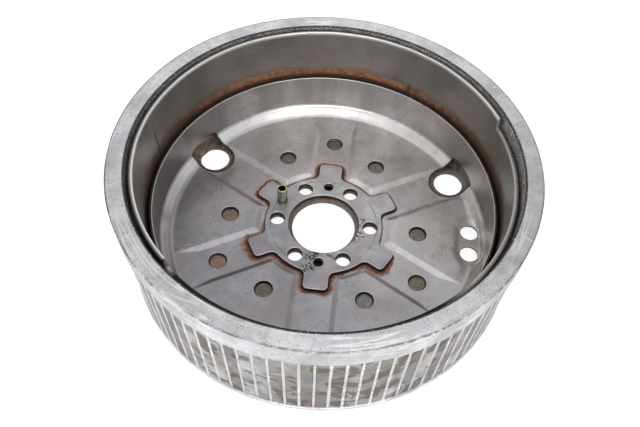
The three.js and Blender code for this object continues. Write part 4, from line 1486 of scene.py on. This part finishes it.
def build_rivet(name, radius, angle):
    """A flat dull head with a small pip, a shank, and an upset tail behind the web."""
    low, high = corner(name, high=False)[2], corner(name)[2]
    head = high - 0.35
    seat = head - 0.9
    tail = WEB_BOTTOM - 0.3
    profile = [
        (0.01, low), (RIVET_TAIL_R - 1.2, low), (RIVET_TAIL_R - 0.4, low + 0.25), (RIVET_TAIL_R, low + 0.7),
        (RIVET_TAIL_R, tail - 0.2), (RIVET_TAIL_R - 0.2, tail), (RIVET_SHANK_R, tail), (RIVET_SHANK_R, seat),
        (RIVET_HEAD_R - 0.2, seat), (RIVET_HEAD_R, seat + 0.2), (RIVET_HEAD_R, head - 0.35),
        (RIVET_HEAD_R - 0.12, head - 0.12), (RIVET_HEAD_R - 0.4, head),
        *((r, head) for r in np.linspace(RIVET_HEAD_R - 0.9, 1.2, 12)),
        (0.8, head + 0.10), (0.45, head + 0.24), (0.01, head + 0.28),
    ]
    points, faces = revolved(profile, np.arange(56) * 360 / 56)
    from_edge = RIVET_HEAD_R - radius_of(points)
    centre = polar(radius, angle)
    points[:, 0] += centre[0]
    points[:, 1] += centre[1]
    on_head = points[:, 2] > head - 0.05
    bumps = 0.10 * wobble(points, 3.2, angle / 60 + radius) + 0.04 * wobble(points, 1.2, angle / 60 + 5)
    points[:, 2] += np.where(on_head, bumps, 0)
    base, stain, amount = RIVET_STAINS[name]
    metal = rivet_steel(name + "_steel", base, stain, amount, 0.21 * int(name[-1]))
    fields = {"from_edge": from_edge}
    return piece(name + "_head", points, faces, metal, [name], fields=fields)


def build_pin():
    """A rolled tube with a slit down its side and a chamfered end."""
    low = corner("dowel_pin", high=False)[2]
    slit = 8.0
    angles = np.linspace(slit, 360 - slit, 49) + 200
    section = [(PIN_BORE_R, low), (PIN_R, low)]
    section += [(PIN_R, z) for z in np.linspace(low + 2, PIN_TOP - 0.8, 8)]
    section += [(PIN_R - 0.12, PIN_TOP - 0.25), (PIN_R - 0.35, PIN_TOP), (PIN_BORE_R + 0.55, PIN_TOP)]
    section += [(PIN_BORE_R + 0.45, PIN_TOP - 0.15), (PIN_BORE_R, PIN_TOP - 0.9)]
    t = np.radians(angles)
    n = len(section)
    cx, cy = polar(PIN_CENTRE_R, PIN_ANGLE)
    points = [(cx + r * math.cos(a), cy + r * math.sin(a), z) for a in t for r, z in section]
    bore_painted_shade = [float(r < PIN_BORE_R + 0.5) for _ in t for r, _ in section]
    faces = []
    for i in range(len(t) - 1):
        for j in range(n):
            k = (j + 1) % n
            faces.append((i * n + j, i * n + n + j, i * n + n + k, i * n + k)[::-1])
    last = (len(t) - 1) * n
    faces += [tuple(range(n))[::-1], tuple(last + j for j in range(n))]
    fields = {"inside": bore_painted_shade}
    return piece("pin", np.array(points), faces, pin_steel(), ["dowel_pin"], fields=fields)


# ---- surroundings ----
def build_floor():
    """A wide table just under the part."""
    size = 6.0
    mesh = bpy.data.meshes.new("floor")
    corners = [(-size, -size, 0), (size, -size, 0), (size, size, 0), (-size, size, 0)]
    mesh.from_pydata(corners, [], [(0, 1, 2, 3)])
    mesh.materials.append(floor_finish())
    floor = bpy.data.objects.new("floor", mesh)
    bpy.context.scene.collection.objects.link(floor)
    floor.location.z = -0.0002


def softbox(name, place, size, power, aim=(0, 0, 0.05)):
    """A rectangular light, in metres and watts."""
    data = bpy.data.lights.new(name, "AREA")
    data.shape = "RECTANGLE"
    data.size, data.size_y = size
    data.energy = power
    light = bpy.data.objects.new(name, data)
    light.location = place
    light.rotation_euler = (Vector(aim) - Vector(place)).to_track_quat("-Z", "Y").to_euler()
    bpy.context.scene.collection.objects.link(light)


def light_scene():
    """A pale room, brighter towards the horizon, with softboxes all round and one above."""
    world = bpy.data.worlds.new("studio")
    bpy.context.scene.world = world
    world.use_nodes = True
    nodes = Nodes(world.node_tree)
    x, _, z = nodes.parts_of(nodes.add("ShaderNodeTexCoord").outputs["Generated"])
    upward = nodes.range(z, 0.25, 0.95, 1.0, 0.55, smooth=False)
    # the room is darker on the left and the right
    flags = nodes.range(nodes.times(x, x), 0.25, 1.0, 1.0, 0.45, smooth=False)
    sky = nodes.add("ShaderNodeBackground")
    nodes.put(sky.inputs["Color"], nodes.times(flags, upward))
    sky.inputs["Strength"].default_value = 0.80
    out = nodes.add("ShaderNodeOutputWorld")
    nodes.put(out.inputs["Surface"], sky.outputs[0])
    softbox("front_softbox", (0.2, -1.5, 0.95), (1.8, 0.9), 22)
    softbox("left_softbox", (-1.5, -0.2, 1.0), (0.9, 1.4), 4)
    softbox("right_softbox", (1.5, 0.1, 1.0), (0.9, 1.4), 3)
    softbox("top_softbox", (0.0, -0.2, 1.8), (1.4, 1.4), 7)
    softbox("back_softbox", (-0.1, 1.35, 1.6), (2.2, 1.0), 2.0)
    bpy.context.scene.view_settings.view_transform = "Standard"


aim_camera()
build_floor()
light_scene()
build_cage()
build_laminations()
build_sleeve()
build_hub()
build_dish()
build_web()
build_pin()
for number, (rivet_radius, rivet_angle, _) in enumerate(RIVETS, 1):
    build_rivet(f"rivet_{number}", rivet_radius, rivet_angle)
